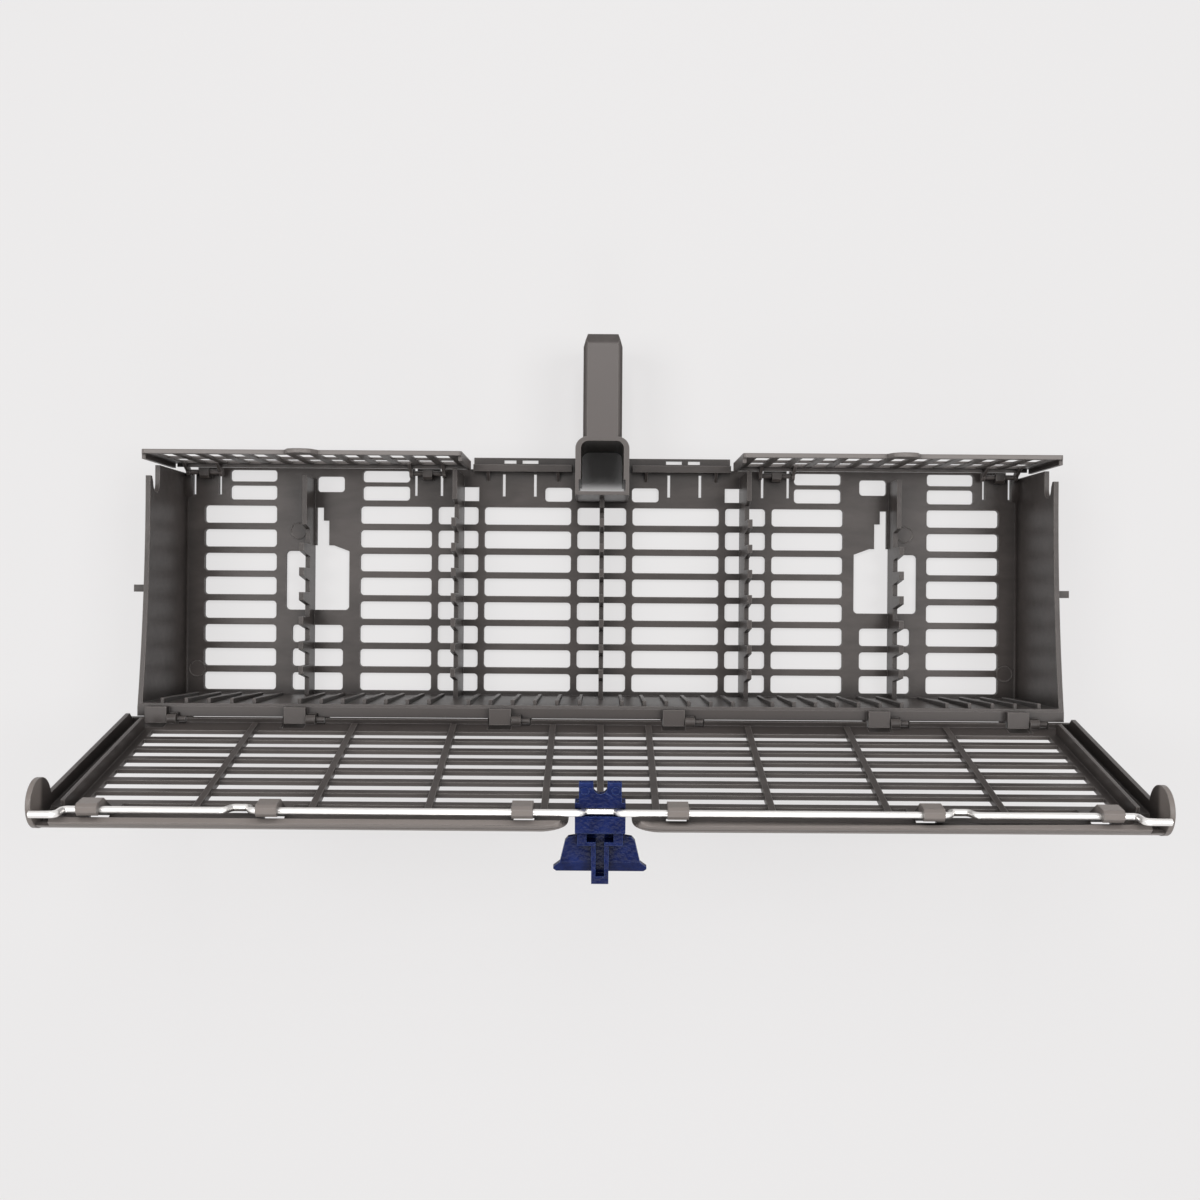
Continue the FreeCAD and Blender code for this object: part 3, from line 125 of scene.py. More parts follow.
def makeFlowMarks():
    # Shade = soft clouds, pulled out along the way the melt ran, with a few finer streaks in them
    group, takes, gives = newGroup(
        "flowMarks",
        [("Cloud", "NodeSocketFloat", 0.04), ("Stretch", "NodeSocketVector", (0.35, 1.0, 1.0))],
        [("Shade", "NodeSocketFloat")],
    )
    where = nodeIn(group, "ShaderNodeTexCoord")
    pull = nodeIn(group, "ShaderNodeVectorMath", operation="MULTIPLY")
    scale = nodeIn(group, "ShaderNodeMath", operation="DIVIDE")
    scale.inputs[0].default_value = 1.0
    fine = nodeIn(group, "ShaderNodeMath", operation="MULTIPLY")
    fine.inputs[1].default_value = 7.0
    clouds = nodeIn(group, "ShaderNodeTexNoise")
    clouds.inputs["Detail"].default_value = 3.0
    clouds.inputs["Distortion"].default_value = 0.7
    streaks = nodeIn(group, "ShaderNodeTexNoise")
    streaks.inputs["Detail"].default_value = 2.0
    blend = nodeIn(group, "ShaderNodeMix", data_type="FLOAT")
    blend.inputs["Factor"].default_value = 0.3
    spread = nodeIn(group, "ShaderNodeMapRange", clamp=True)
    spread.inputs["From Min"].default_value = 0.34
    spread.inputs["From Max"].default_value = 0.66
    link = group.links.new
    link(where.outputs["Object"], pull.inputs[0])
    link(takes.outputs["Stretch"], pull.inputs[1])
    link(takes.outputs["Cloud"], scale.inputs[1])
    link(scale.outputs["Value"], fine.inputs[0])
    link(pull.outputs["Vector"], clouds.inputs["Vector"])
    link(pull.outputs["Vector"], streaks.inputs["Vector"])
    link(scale.outputs["Value"], clouds.inputs["Scale"])
    link(fine.outputs["Value"], streaks.inputs["Scale"])
    link(clouds.outputs["Fac"], blend.inputs["A"])
    link(streaks.outputs["Fac"], blend.inputs["B"])
    link(blend.outputs["Result"], spread.inputs["Value"])
    link(spread.outputs["Result"], gives.inputs["Shade"])
    return group


def makeCornerShade():
    # Open = share of the sky that a point sees within Reach, sharpened by Power
    group, takes, gives = newGroup(
        "cornerShade",
        [("Reach", "NodeSocketFloat", 0.008), ("Power", "NodeSocketFloat", 1.5)],
        [("Open", "NodeSocketFloat")],
    )
    seen = nodeIn(group, "ShaderNodeAmbientOcclusion", samples=4)
    sharp = nodeIn(group, "ShaderNodeMath", operation="POWER", use_clamp=True)
    link = group.links.new
    link(takes.outputs["Reach"], seen.inputs["Distance"])
    link(seen.outputs["AO"], sharp.inputs[0])
    link(takes.outputs["Power"], sharp.inputs[1])
    link(sharp.outputs["Value"], gives.inputs["Open"])
    return group


def makeHeightShare():
    # Share = 0 below Low to 1 above High in the part's own height, the mask of the painted light on high
    # faces
    group, takes, gives = newGroup(
        "heightShare",
        [("Low", "NodeSocketFloat", 0.05), ("High", "NodeSocketFloat", 0.06)],
        [("Share", "NodeSocketFloat")],
    )
    where = nodeIn(group, "ShaderNodeTexCoord")
    parts = nodeIn(group, "ShaderNodeSeparateXYZ")
    climb = nodeIn(group, "ShaderNodeMapRange", interpolation_type="SMOOTHSTEP")
    link = group.links.new
    link(where.outputs["Object"], parts.inputs["Vector"])
    link(parts.outputs["Z"], climb.inputs["Value"])
    link(takes.outputs["Low"], climb.inputs["From Min"])
    link(takes.outputs["High"], climb.inputs["From Max"])
    link(climb.outputs["Result"], gives.inputs["Share"])
    return group


roundEdges = makeRoundEdges()
cornerShade = makeCornerShade()
heightShare = makeHeightShare()
sparkTexture = makeSparkTexture()
flowMarks = makeFlowMarks()
print("stage: shared effects")


# Finishes

def useGroup(tree, group, **values):
    node = nodeIn(tree, "ShaderNodeGroup", node_tree=group)
    for label, value in values.items():
        node.inputs[label].default_value = value
    return node


def tone(tree, factor, low, high):
    # A colour between low and high
    mix = nodeIn(tree, "ShaderNodeMix", data_type="RGBA")
    tree.links.new(factor, mix.inputs["Factor"])
    for socket, colour in (("A", low), ("B", high)):
        if isinstance(colour, tuple):
            mix.inputs[socket].default_value = colour + (1.0,)
        else:
            tree.links.new(colour, mix.inputs[socket])
    return mix.outputs["Result"]


def spreadTo(tree, value, low, high):
    spread = nodeIn(tree, "ShaderNodeMapRange", clamp=True)
    spread.inputs["From Min"].default_value = 0.25
    spread.inputs["From Max"].default_value = 0.75
    spread.inputs["To Min"].default_value = low
    spread.inputs["To Max"].default_value = high
    tree.links.new(value, spread.inputs["Value"])
    return spread.outputs["Result"]


def mouldedPlastic(name, look):
    material = bpy.data.materials.new(name)
    material.use_nodes = True
    tree = material.node_tree
    shader = tree.nodes["Principled BSDF"]
    edges = useGroup(tree, roundEdges, Radius=look["edgeRadius"])
    grain = useGroup(tree, sparkTexture, Grain=look["grain"], Depth=look["grainDepth"])
    flow = useGroup(tree, flowMarks, Cloud=look["cloud"], Stretch=look["flowWay"])
    corner = useGroup(tree, cornerShade, Reach=look["cornerReach"], Power=look["cornerPower"])
    climb = useGroup(tree, heightShare, Low=look["highFrom"], High=look["highTo"])
    clouded = tone(tree, flow.outputs["Shade"], look["dark"], look["light"])
    # Painted light: faces above highFrom take the high colour, as the tops catch more light
    topped = tone(tree, climb.outputs["Share"], clouded, look["high"])
    # Painted shade: where a point sees little sky within reach, its colour turns to deep
    body = tone(tree, corner.outputs["Open"], look["deep"], topped)
    # Painted highlight on edges: only outer ones, as inner corners are not open
    outer = nodeIn(tree, "ShaderNodeMath", operation="MULTIPLY")
    edgeHighlight = nodeIn(tree, "ShaderNodeMath", operation="MULTIPLY")
    edgeHighlight.inputs[1].default_value = look["edgeHighlightShare"]
    link = tree.links.new
    link(edges.outputs["Edge"], outer.inputs[0])
    link(corner.outputs["Open"], outer.inputs[1])
    link(outer.outputs["Value"], edgeHighlight.inputs[0])
    link(edges.outputs["Normal"], grain.inputs["Normal"])
    link(tone(tree, edgeHighlight.outputs["Value"], body, look["edge"]), shader.inputs["Base Color"])
    link(spreadTo(tree, grain.outputs["Height"], *look["roughness"]), shader.inputs["Roughness"])
    link(grain.outputs["Normal"], shader.inputs["Normal"])
    shader.inputs["IOR"].default_value = look["ior"]
    return material


def drawnSteel(name, look):
    # Bright wire: fine lines along X from the drawing die, a little cloudy in tone
    material = bpy.data.materials.new(name)
    material.use_nodes = True
    tree = material.node_tree
    shader = tree.nodes["Principled BSDF"]
    where = nodeIn(tree, "ShaderNodeTexCoord")
    pull = nodeIn(tree, "ShaderNodeVectorMath", operation="MULTIPLY")
    pull.inputs[1].default_value = look["lineStretch"]
    lines = nodeIn(tree, "ShaderNodeTexNoise")
    lines.inputs["Scale"].default_value = 1.0 / look["linePitch"]
    lines.inputs["Detail"].default_value = 2.0
    bump = nodeIn(tree, "ShaderNodeBump")
    bump.inputs["Distance"].default_value = look["lineDepth"]
    flow = useGroup(tree, flowMarks, Cloud=look["cloud"])
    link = tree.links.new
    link(where.outputs["Object"], pull.inputs[0])
    link(pull.outputs["Vector"], lines.inputs["Vector"])
    link(lines.outputs["Fac"], bump.inputs["Height"])
    link(bump.outputs["Normal"], shader.inputs["Normal"])
    link(tone(tree, flow.outputs["Shade"], look["dark"], look["light"]), shader.inputs["Base Color"])
    link(spreadTo(tree, lines.outputs["Fac"], *look["roughness"]), shader.inputs["Roughness"])
    shader.inputs["Metallic"].default_value = 1.0
    return material


# Each look: tones from dark to light in clouds, high a painted light on faces above a height, edge a
# painted highlight on outer edges, deep a painted shade in corners
greyLook = {
    "dark": (0.062, 0.052, 0.048),
    "light": (0.108, 0.092, 0.086),
    "high": (0.100, 0.086, 0.081),
    "highFrom": 0.0640,
    "highTo": 0.0655,
    "edge": (0.360, 0.330, 0.312),
    "edgeHighlightShare": 0.80,
    "edgeRadius": 0.0008,
    "deep": (0.022, 0.019, 0.018),
    "cornerReach": 0.009,
    "cornerPower": 1.6,
    "grain": 0.00045,
    "grainDepth": 0.00003,
    "cloud": 0.030,
    "flowWay": (0.4, 1.0, 1.0),
    "roughness": (0.30, 0.46),
    "ior": 1.38,
}
# Painted light: high paints the top of the handle lighter
handleLook = dict(
    greyLook,
    high=(0.150, 0.132, 0.125),
    highFrom=0.0535,
    highTo=0.0546,
    grain=0.00035,
    cloud=0.025,
    flowWay=(1.0, 0.5, 1.0),
    roughness=(0.28, 0.42),
)
# Painted highlight: high paints the rolled rim along the door's top lighter
doorLook = dict(
    greyLook,
    light=(0.104, 0.089, 0.083),
    high=(0.270, 0.236, 0.218),
    highFrom=0.1790,
    highTo=0.1830,
    cloud=0.045,
)
# Painted light: the lids take a lighter copy of the tub's grey, and high paints their top edges lighter
# still
lidLook = dict(
    greyLook,
    dark=(0.100, 0.085, 0.079),
    light=(0.172, 0.149, 0.140),
    high=(0.265, 0.238, 0.226),
    highFrom=0.0590,
    highTo=0.0612,
    roughness=(0.32, 0.48),
)
# Painted light: high paints the top of the lever lighter, and edge is a painted highlight on its outer
# edges
leverLook = {
    "dark": (0.003, 0.008, 0.060),
    "light": (0.008, 0.021, 0.130),
    "high": (0.018, 0.042, 0.200),
    "highFrom": 0.1850,
    "highTo": 0.1900,
    "edge": (0.120, 0.200, 0.560),
    "edgeHighlightShare": 0.6,
    "edgeRadius": 0.0005,
    "deep": (0.001, 0.002, 0.016),
    "cornerReach": 0.006,
    "cornerPower": 1.5,
    "grain": 0.0016,
    "grainDepth": 0.00030,
    "cloud": 0.009,
    "flowWay": (1.0, 1.0, 0.6),
    "roughness": (0.10, 0.20),
    "ior": 1.22,
}
wireLook = {
    "dark": (0.86, 0.84, 0.82),
    "light": (0.96, 0.94, 0.92),
    "linePitch": 0.0002,
    "lineStretch": (0.02, 1.0, 1.0),
    "lineDepth": 0.000002,
    "cloud": 0.02,
    "roughness": (0.30, 0.42),
}
finishes = {
    "tub": mouldedPlastic("tubPlastic", greyLook),
    "handle": mouldedPlastic("handlePlastic", handleLook),
    "door": mouldedPlastic("doorPlastic", doorLook),
    "lid_left": mouldedPlastic("lidPlastic", lidLook),
    "latch_lever": mouldedPlastic("leverPlastic", leverLook),
    "latch_wire": drawnSteel("wireSteel", wireLook),
}
finishes["lid_right"] = finishes["lid_left"]
for node, material in finishes.items():
    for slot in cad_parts[node].material_slots:
        slot.material = material
print("stage: finishes")


# Shapes of the moulding that the scene finishes

doorHinge = (-0.061, 0.073)    # Y and Z of its axis
doorLean = math.radians(105.3)
latchAxis = (-0.087461, 0.186024)


def towardsDoor(points, axis):
    # Along = way from the axis to the door's rim, Out = way out of its outer face
    across, up = points[:, 1] - axis[0], points[:, 2] - axis[1]
    along = across * math.cos(doorLean) + up * math.sin(doorLean)
    out = up * math.cos(doorLean) - across * math.sin(doorLean)
    return along, out


def fromDoor(points, along, out, axis):
    points[:, 1] = axis[0] + along * math.cos(doorLean) - out * math.sin(doorLean)
    points[:, 2] = axis[1] + along * math.sin(doorLean) + out * math.cos(doorLean)
    return points


def reshaped(node, name, body, slotName, change, cuts=()):
    # A merged copy of the node, cut across at some planes, with its points moved by change
    work = bmesh.new()
    work.from_mesh(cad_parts[node].data)
    bmesh.ops.remove_doubles(work, verts=work.verts, dist=1e-6)
    for place, way, near in cuts:
        some = [face for face in work.faces if near(face.calc_center_median())]
        lines = {edge for face in some for edge in face.edges}
        corners = {corner for face in some for corner in face.verts}
        bmesh.ops.bisect_plane(work, geom=some + list(lines) + list(corners), dist=1e-7,
                               plane_co=place, plane_no=way)
    mesh = bpy.data.meshes.new(name)
    work.to_mesh(mesh)
    work.free()
    points = np.empty(len(mesh.vertices) * 3)
    mesh.vertices.foreach_get("co", points)
    mesh.vertices.foreach_set("co", change(points.reshape(-1, 3)).ravel())
    return placed(mesh, name, body, slotName, finishes[node], node)


def placed(mesh, name, body, slotName, material, *nodes):
    mesh.update()
    mesh.materials.clear()
    mesh.materials.append(material)
    piece = bpy.data.objects.new(name, mesh)
    bpy.context.scene.collection.objects.link(piece)
    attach(piece, body)
    if nodes:
        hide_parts(*nodes)
    return piece


def roundedBlocks(boxes, radius, steps):
    # Corner of the block's core plus a ball's point: a goes round the ball and b from its foot to its top
    boxes = np.array(boxes, dtype=float)
    quarter = np.linspace(0.0, math.pi / 2, steps + 1)
    a = np.concatenate([quarter + k * math.pi / 2 for k in range(4)])
    sideX = np.repeat([1.0, -1.0, -1.0, 1.0], steps + 1)
    sideY = np.repeat([1.0, 1.0, -1.0, -1.0], steps + 1)
    b = np.concatenate([quarter - math.pi / 2, quarter])
    sideZ = np.repeat([-1.0, 1.0], steps + 1)
    middle = (boxes[:, 0] + boxes[:, 1]) / 2
    core = (boxes[:, 1] - boxes[:, 0]) / 2 - radius
    ball = np.stack([np.cos(b)[:, None] * np.cos(a), np.cos(b)[:, None] * np.sin(a),
                     np.sin(b)[:, None] * np.ones_like(a)], axis=-1)
    side = np.stack(np.broadcast_arrays(sideX[None, :], sideY[None, :], sideZ[:, None]), axis=-1)
    points = middle[:, None, None] + side[None] * core[:, None, None] + ball[None] * radius
    rings, round_ = len(b), len(a)
    row, column = np.meshgrid(np.arange(rings - 1), np.arange(round_), indexing="ij")
    after = (column + 1) % round_
    quads = np.stack([row * round_ + column, row * round_ + after,
                      (row + 1) * round_ + after, (row + 1) * round_ + column], axis=-1).reshape(-1, 4)
    corner = np.arange(4) * (steps + 1)
    ends = np.array([corner[::-1], (rings - 1) * round_ + corner])
    one = np.concatenate([quads, ends])
    faces = (one[None] + (np.arange(len(boxes)) * rings * round_)[:, None, None]).reshape(-1, 4)
    return points.reshape(-1, 3), faces


def surfaceMesh(name, points, faces):
    mesh = bpy.data.meshes.new(name)
    mesh.from_pydata(points.tolist(), [], faces.tolist())
    work = bmesh.new()
    work.from_mesh(mesh)
    bmesh.ops.remove_doubles(work, verts=work.verts, dist=1e-7)
    bmesh.ops.recalc_face_normals(work, faces=work.faces)
    work.to_mesh(mesh)
    work.free()
    return mesh


doorShape = {
    "rimMiddle": (0.111, -0.005),    # along and out
    "capFrom": 0.22935,
    "capAlong": 0.091,
    "capRadius": 0.01005,
    "capSpare": 0.12,                # share left of what stands past that radius
    "capFace": 0.2315,
    "clipPlaces": (0.2075, 0.135, 0.0316),
    "clipHalf": 0.00521,
    "clipShare": 0.83,
    "clipFrom": 0.101,
    "wireInside": -0.0043,
    "clipTop": -0.0060,
    "clipHeight": 0.80,
    "endFrom": 0.013,
    "endTo": 0.025,
    "endLine": -0.0907,
    "endAlong": 0.103,
    "endLeast": 0.10,
    "endCuts": 11,
    "endReach": 0.085,
    "endLow": 0.165,
}


def doorPoints(points):
    look = doorShape
    along, out = towardsDoor(points, doorHinge)
    aside = np.abs(points[:, 0])
    # End caps: what stands out past the rim's own radius is drawn in
    middle = look["rimMiddle"]
    away = np.hypot(along - middle[0], out - middle[1])
    proud = (aside > look["capFrom"]) & (away > look["capRadius"]) & (along > look["capAlong"])
    kept = look["capRadius"] + (away - look["capRadius"]) * look["capSpare"]
    share = np.where(proud, kept / np.maximum(away, 1e-9), 1.0)
    along = middle[0] + (along - middle[0]) * share
    out = middle[1] + (out - middle[1]) * share
    aside = np.minimum(aside, look["capFace"])
    # Wire clips: narrower and flatter
    for place in look["clipPlaces"]:
        inClip = (np.abs(aside - place) < look["clipHalf"]) & (along > look["clipFrom"])
        aside = np.where(inClip, place + (aside - place) * look["clipShare"], aside)
        high = inClip & (out < look["clipTop"])
        out = np.where(high, look["wireInside"] + (out - look["wireInside"]) * look["clipHeight"], out)
    points = fromDoor(points, along, out, doorHinge)
    points[:, 0] = np.sign(points[:, 0]) * aside
    # Rim ends at the latch: an ellipse in plan, squeezed from the front
    line = look["endLine"]
    part = np.clip((look["endTo"] - aside) / (look["endTo"] - look["endFrom"]), 0.0, 1.0)
    squeeze = look["endLeast"] + (1 - look["endLeast"]) * np.sqrt(1 - part ** 2)
    atEnd = (part > 0) & (points[:, 1] < line) & (along > look["endAlong"])
    points[:, 1] = np.where(atEnd, line + (points[:, 1] - line) * squeeze, points[:, 1])
    return points


def nearRimEnd(middle):
    return abs(middle.x) < doorShape["endReach"] and middle.z > doorShape["endLow"]


def rimEndCuts():
    # Planes across X, closer together towards the end of the ellipse
    look = doorShape
    turns = np.linspace(0.0, math.pi / 2, look["endCuts"] + 1)[1:]
    width = look["endTo"] - look["endFrom"]
    return [((side * (look["endTo"] - width * math.cos(turn)), 0.0, 0.0), (1.0, 0.0, 0.0), nearRimEnd)
            for side in (-1, 1) for turn in turns]


handleShape = {"taperFrom": 0.1275, "top": 0.1349, "topShare": 0.79}


def handlePoints(points):
    # The loop's end narrows in a straight line to topShare of its width
    look = handleShape
    part = np.clip((points[:, 1] - look["taperFrom"]) / (look["top"] - look["taperFrom"]), 0.0, 1.0)
    points[:, 0] *= 1 - (1 - look["topShare"]) * part
    return points


def anywhere(middle):
    return True


leverShape = {
    "wingFrom": 0.0103,
    "wingUnder": -0.0088,
    "wingOut": 0.0099,
    "wingShift": 0.0042,
    "bend": 0.0217,
    "paddleOut": 0.0275,
    "paddleHigh": -0.00895,
    "railHalf": 0.00359,
    "railFrom": 0.0285,
    "railShift": 0.0020,
    "markPlaces": ((-0.0063, -0.0088), (0.0063, -0.0088)),    # across and out
    "markHigh": -0.0022,
    "markRadius": 0.0019,
    "markRise": 0.00020,
}


def leverPoints(points):
    # The paddle's wings and lower edge move outwards as one, and the tongue's tip by less
    look = leverShape
    along, out = towardsDoor(points, latchAxis)
    aside = np.abs(points[:, 0])
    wing = (aside > look["wingFrom"]) & (along < look["wingUnder"]) & (out > look["wingOut"])
    edge = (out > look["bend"]) & (out < look["paddleOut"])
    edge &= (along < look["paddleHigh"]) & (aside > look["railHalf"])
    tip = (out > look["railFrom"]) & ~wing
    out = out + np.where(wing | edge, look["wingShift"], 0.0) + np.where(tip, look["railShift"], 0.0)
    return fromDoor(points, along, out, latchAxis)


tubShape = {
    "floorSheet": ((-0.2188, -0.0549, 0.0072), (0.2188, -0.05336, 0.0638)),
    "sheetRound": (0.0002, 1),    # radius and steps of the edges
    "finPlaces": (0.0105, 0.0217, 0.0326, 0.0437, 0.0546, 0.0655,
                  0.0851, 0.0958, 0.1065, 0.1171, 0.1278, 0.1385, 0.1492,
                  0.1716, 0.1828, 0.1941, 0.2053, 0.2172),
    "finHalf": 0.0009,
    "finFrom": 0.012,
    "finTo": 0.0697,
    "finHeight": 0.0026,
    "finLeast": 0.60,             # share of that height at the rear end
    "finSink": 0.0006,
    "finRound": (0.0003, 2),
    "floorTop": -0.0534,
    "cornerAt": (0.2216, 0.0076),
    "cornerRadius": 0.005,
    "cornerSharp": 0.0012,
    "cornerSlack": 4e-5,
    "cornerStops": (0.0540, 0.0534),
    "cornerNear": (0.2210, 0.0085),
    "markPlaces": ((-0.1655, 0.0355, 0.0026), (0.1655, 0.0355, 0.0026),
                   (-0.2205, -0.0400, 0.0026), (0.2205, -0.0400, 0.0026)),
    "markRadius": 0.0047,
    "markRise": 0.00022,
    "webPlaces": (0.212, 0.1437, 0.0427),
    "webShift": 0.0012,
    "webReach": (0.0140, 0.0072),
    "webSpread": 1.0155,          # more reach at the far ends
    "webBox": ((-0.0664, 0.0625), (-0.0552, 0.0640)),    # Y and Z
    "webRound": (0.0004, 2),
}


def tubPoints(points):
    # The round between panel and side wall takes a smaller radius, and its middle moves into the corner
    look = tubShape
    middle = look["cornerAt"]
    away = np.stack([np.abs(points[:, 0]) - middle[0], points[:, 2] - middle[1]])
    onRound = np.abs(np.hypot(*away) - look["cornerRadius"]) < look["cornerSlack"]
    onRound &= (away[0] > -1e-6) & (away[1] < 1e-6)
    onRound &= points[:, 1] < look["cornerStops"][0] - 1e-4
    spare = look["cornerRadius"] - look["cornerSharp"]
    share = look["cornerSharp"] / look["cornerRadius"]
    sharpX = np.sign(points[:, 0]) * (middle[0] + spare + away[0] * share)
    points[:, 0] = np.where(onRound, sharpX, points[:, 0])
    points[:, 2] = np.where(onRound, middle[1] - spare + away[1] * share, points[:, 2])
    return points


def nearCorner(middle):
    beyond, under = tubShape["cornerNear"]
    return abs(middle.x) > beyond and middle.z < under


def cornerCuts():
    # Two planes across Y, between which the sharp corner runs out into the solid's round
    return [((0.0, stop, 0.0), (0.0, 1.0, 0.0), nearCorner) for stop in tubShape["cornerStops"]]


ringShape = {
    "around": 32,
    "radii": (1.0, 0.97, 0.90, 0.86, 0.55, 0.2),        # shares of the radius, from the rim inwards
    "heights": (-0.4, 1.0, 1.0, 0.45, 0.45, 0.45),      # shares of the rise over the face
}


def markMesh(name, places, radius, rise, lean=0.0):
    # Discs with a low ring at the rim, leant about X: turn a around, one circle of points per radius
    around, rings = ringShape["around"], len(ringShape["radii"])
    a = np.linspace(0.0, 2 * math.pi, around + 1)[:-1]
    wide = np.array(ringShape["radii"])[:, None] * radius
    high = np.array(ringShape["heights"])[:, None] * rise
    one = np.stack([wide * np.cos(a), wide * np.sin(a), high + 0.0 * a], axis=-1).reshape(-1, 3)
    turn = np.array([[1, 0, 0], [0, math.cos(lean), -math.sin(lean)], [0, math.sin(lean), math.cos(lean)]])
    points = (one @ turn.T)[None] + np.array(places)[:, None]
    row, column = np.meshgrid(np.arange(rings - 1), np.arange(around), indexing="ij")
    after = (column + 1) % around
    quads = np.stack([row * around + column, row * around + after,
                      (row + 1) * around + after, (row + 1) * around + column], axis=-1).reshape(-1, 4)
    starts = np.arange(len(places)) * len(one)
    sides = (quads[None] + starts[:, None, None]).reshape(-1, 4)
    tops = (rings - 1) * around + np.arange(around)[None] + starts[:, None]
    feet = np.arange(around)[None, ::-1] + starts[:, None]
    mesh = bpy.data.meshes.new(name)
    mesh.from_pydata(points.reshape(-1, 3).tolist(), [], sides.tolist() + tops.tolist() + feet.tolist())
    return mesh


def tubDetails():
    look = tubShape
    grey = finishes["tub"]
    placed(markMesh("ejectorMarks", look["markPlaces"], look["markRadius"], look["markRise"]),
           "ejectorMarks", "basket", "grey_plastic", grey)
    points, faces = roundedBlocks([look["floorSheet"]], *look["sheetRound"])
    placed(surfaceMesh("floorSheet", points, faces), "floorSheet", "basket", "grey_plastic", grey)
    foot = look["floorTop"] - look["finSink"]
    fins = [((side * place - look["finHalf"], foot, look["finFrom"]),
             (side * place + look["finHalf"], look["floorTop"] + look["finHeight"], look["finTo"]))
            for place in look["finPlaces"] for side in (-1, 1)]
    points, faces = roundedBlocks(fins, *look["finRound"])
    # A fin's height grows from finLeast to 1 with the square root of the way from its rear end
    way = np.clip((points[:, 2] - look["finFrom"]) / (look["finTo"] - look["finFrom"]), 0.0, 1.0)
    points[:, 1] = foot + (points[:, 1] - foot) * (look["finLeast"] + (1 - look["finLeast"]) * np.sqrt(way))
    placed(surfaceMesh("floorFins", points, faces), "floorFins", "basket", "grey_plastic", grey)
    (lowY, lowZ), (highY, highZ) = look["webBox"]
    webs = np.array([((side * place + look["webShift"] - look["webReach"][0], lowY, lowZ),
                      (side * place + look["webShift"] + look["webReach"][1], highY, highZ))
                     for place in look["webPlaces"] for side in (-1, 1)])
    webs[:, 0, 0] *= np.where(webs[:, 0, 0] < 0, look["webSpread"], 1.0)
    webs[:, 1, 0] *= np.where(webs[:, 1, 0] > 0, look["webSpread"], 1.0)
    points, faces = roundedBlocks(webs, *look["webRound"])
    placed(surfaceMesh("hingeWebs", points, faces), "hingeWebs", "basket", "grey_plastic", grey)


lidShape = {
    "sill": ((0.0729, 0.06915, 0.0106), (0.2293, 0.0716, 0.0118)),
    "sillRound": (0.0003, 2),
    "slatBox": ((0.0776, 0.07315, 0.0139), (0.2246, 0.0740, 0.0587)),
    "slatThinner": 0.0011,
}


def lidPoints(points):
    # The outer face between the windows lies deeper than the lid's frame
    low, high = lidShape["slatBox"]
    inside = (np.abs(points[:, 0]) > low[0]) & (np.abs(points[:, 0]) < high[0])
    inside &= (points[:, 1] > low[1]) & (points[:, 2] > low[2]) & (points[:, 2] < high[2])
    points[:, 1] -= np.where(inside, lidShape["slatThinner"], 0.0)
    return points


def lidDetails():
    # Sill along the foot of each lid, towards its pins
    for name, body, flip in (("lidSillLeft", "left_lid", -1), ("lidSillRight", "right_lid", 1)):
        corners = np.array(lidShape["sill"])
        corners[:, 0] = np.sort(corners[:, 0] * flip)
        points, faces = roundedBlocks([corners], *lidShape["sillRound"])
        placed(surfaceMesh(name, points, faces), name, body, "grey_plastic", finishes["lid_left"])


def leverDetails():
    # Two marks on the fork's top face
    look = leverShape
    across, out = np.array(look["markPlaces"]).T
    spots = np.zeros((len(across), 3))
    spots[:, 0] = across
    spots = fromDoor(spots, np.full(len(across), look["markHigh"]), out, latchAxis)
    placed(markMesh("leverMarks", spots, look["markRadius"], look["markRise"], doorLean - math.pi / 2),
           "leverMarks", "latch", "blue_plastic", finishes["latch_lever"])


handleCut = ((0.0, handleShape["taperFrom"], 0.0), (0.0, 1.0, 0.0), anywhere)
reshaped("tub", "tubMoulding", "basket", "grey_plastic", tubPoints, cornerCuts())
reshaped("lid_left", "leftLidMoulding", "left_lid", "grey_plastic", lidPoints)
reshaped("lid_right", "rightLidMoulding", "right_lid", "grey_plastic", lidPoints)
leverDetails()
reshaped("door", "doorMoulding", "door", "grey_plastic", doorPoints, rimEndCuts())
reshaped("handle", "handleMoulding", "basket", "grey_plastic", handlePoints, [handleCut])
reshaped("latch_lever", "leverMoulding", "latch", "blue_plastic", leverPoints)
tubDetails()
lidDetails()
print("stage: pieces")


# Table, light and camera

stageLook = {
    "floorSize": 6.0,
    "floorDrop": 0.0002,
    "floorColour": (0.87, 0.86, 0.86),
    "paperGlow": (0.885, 0.872, 0.872),
    "glowShare": 0.70,
    "paperRoughness": 0.8,
    "paperShine": 0.2,
    "tubeHalf": 0.0126,    # the paper at the bottom of the handle's tube lies in deep shade
    "tubeFrom": (0.0550, 0.0640),
    "tubeEnd": 0.0810,
    "skyStrength": 0.20,
    "skySeen": 0.84,       # as pale as the paper where the camera or a mirror sees it
    "lamps": {"left": ((-0.75, 0.10, 1.45), 0.6, 6.4), "right": ((0.75, 0.10, 1.45), 0.6, 6.4),
              "front": ((0.0, -1.20, 0.95), 0.6, 3.0), "back": ((0.0, 0.70, 1.45), 0.6, 5.6)},
    "lookAt": (0.0, 0.0, 0.05),
}


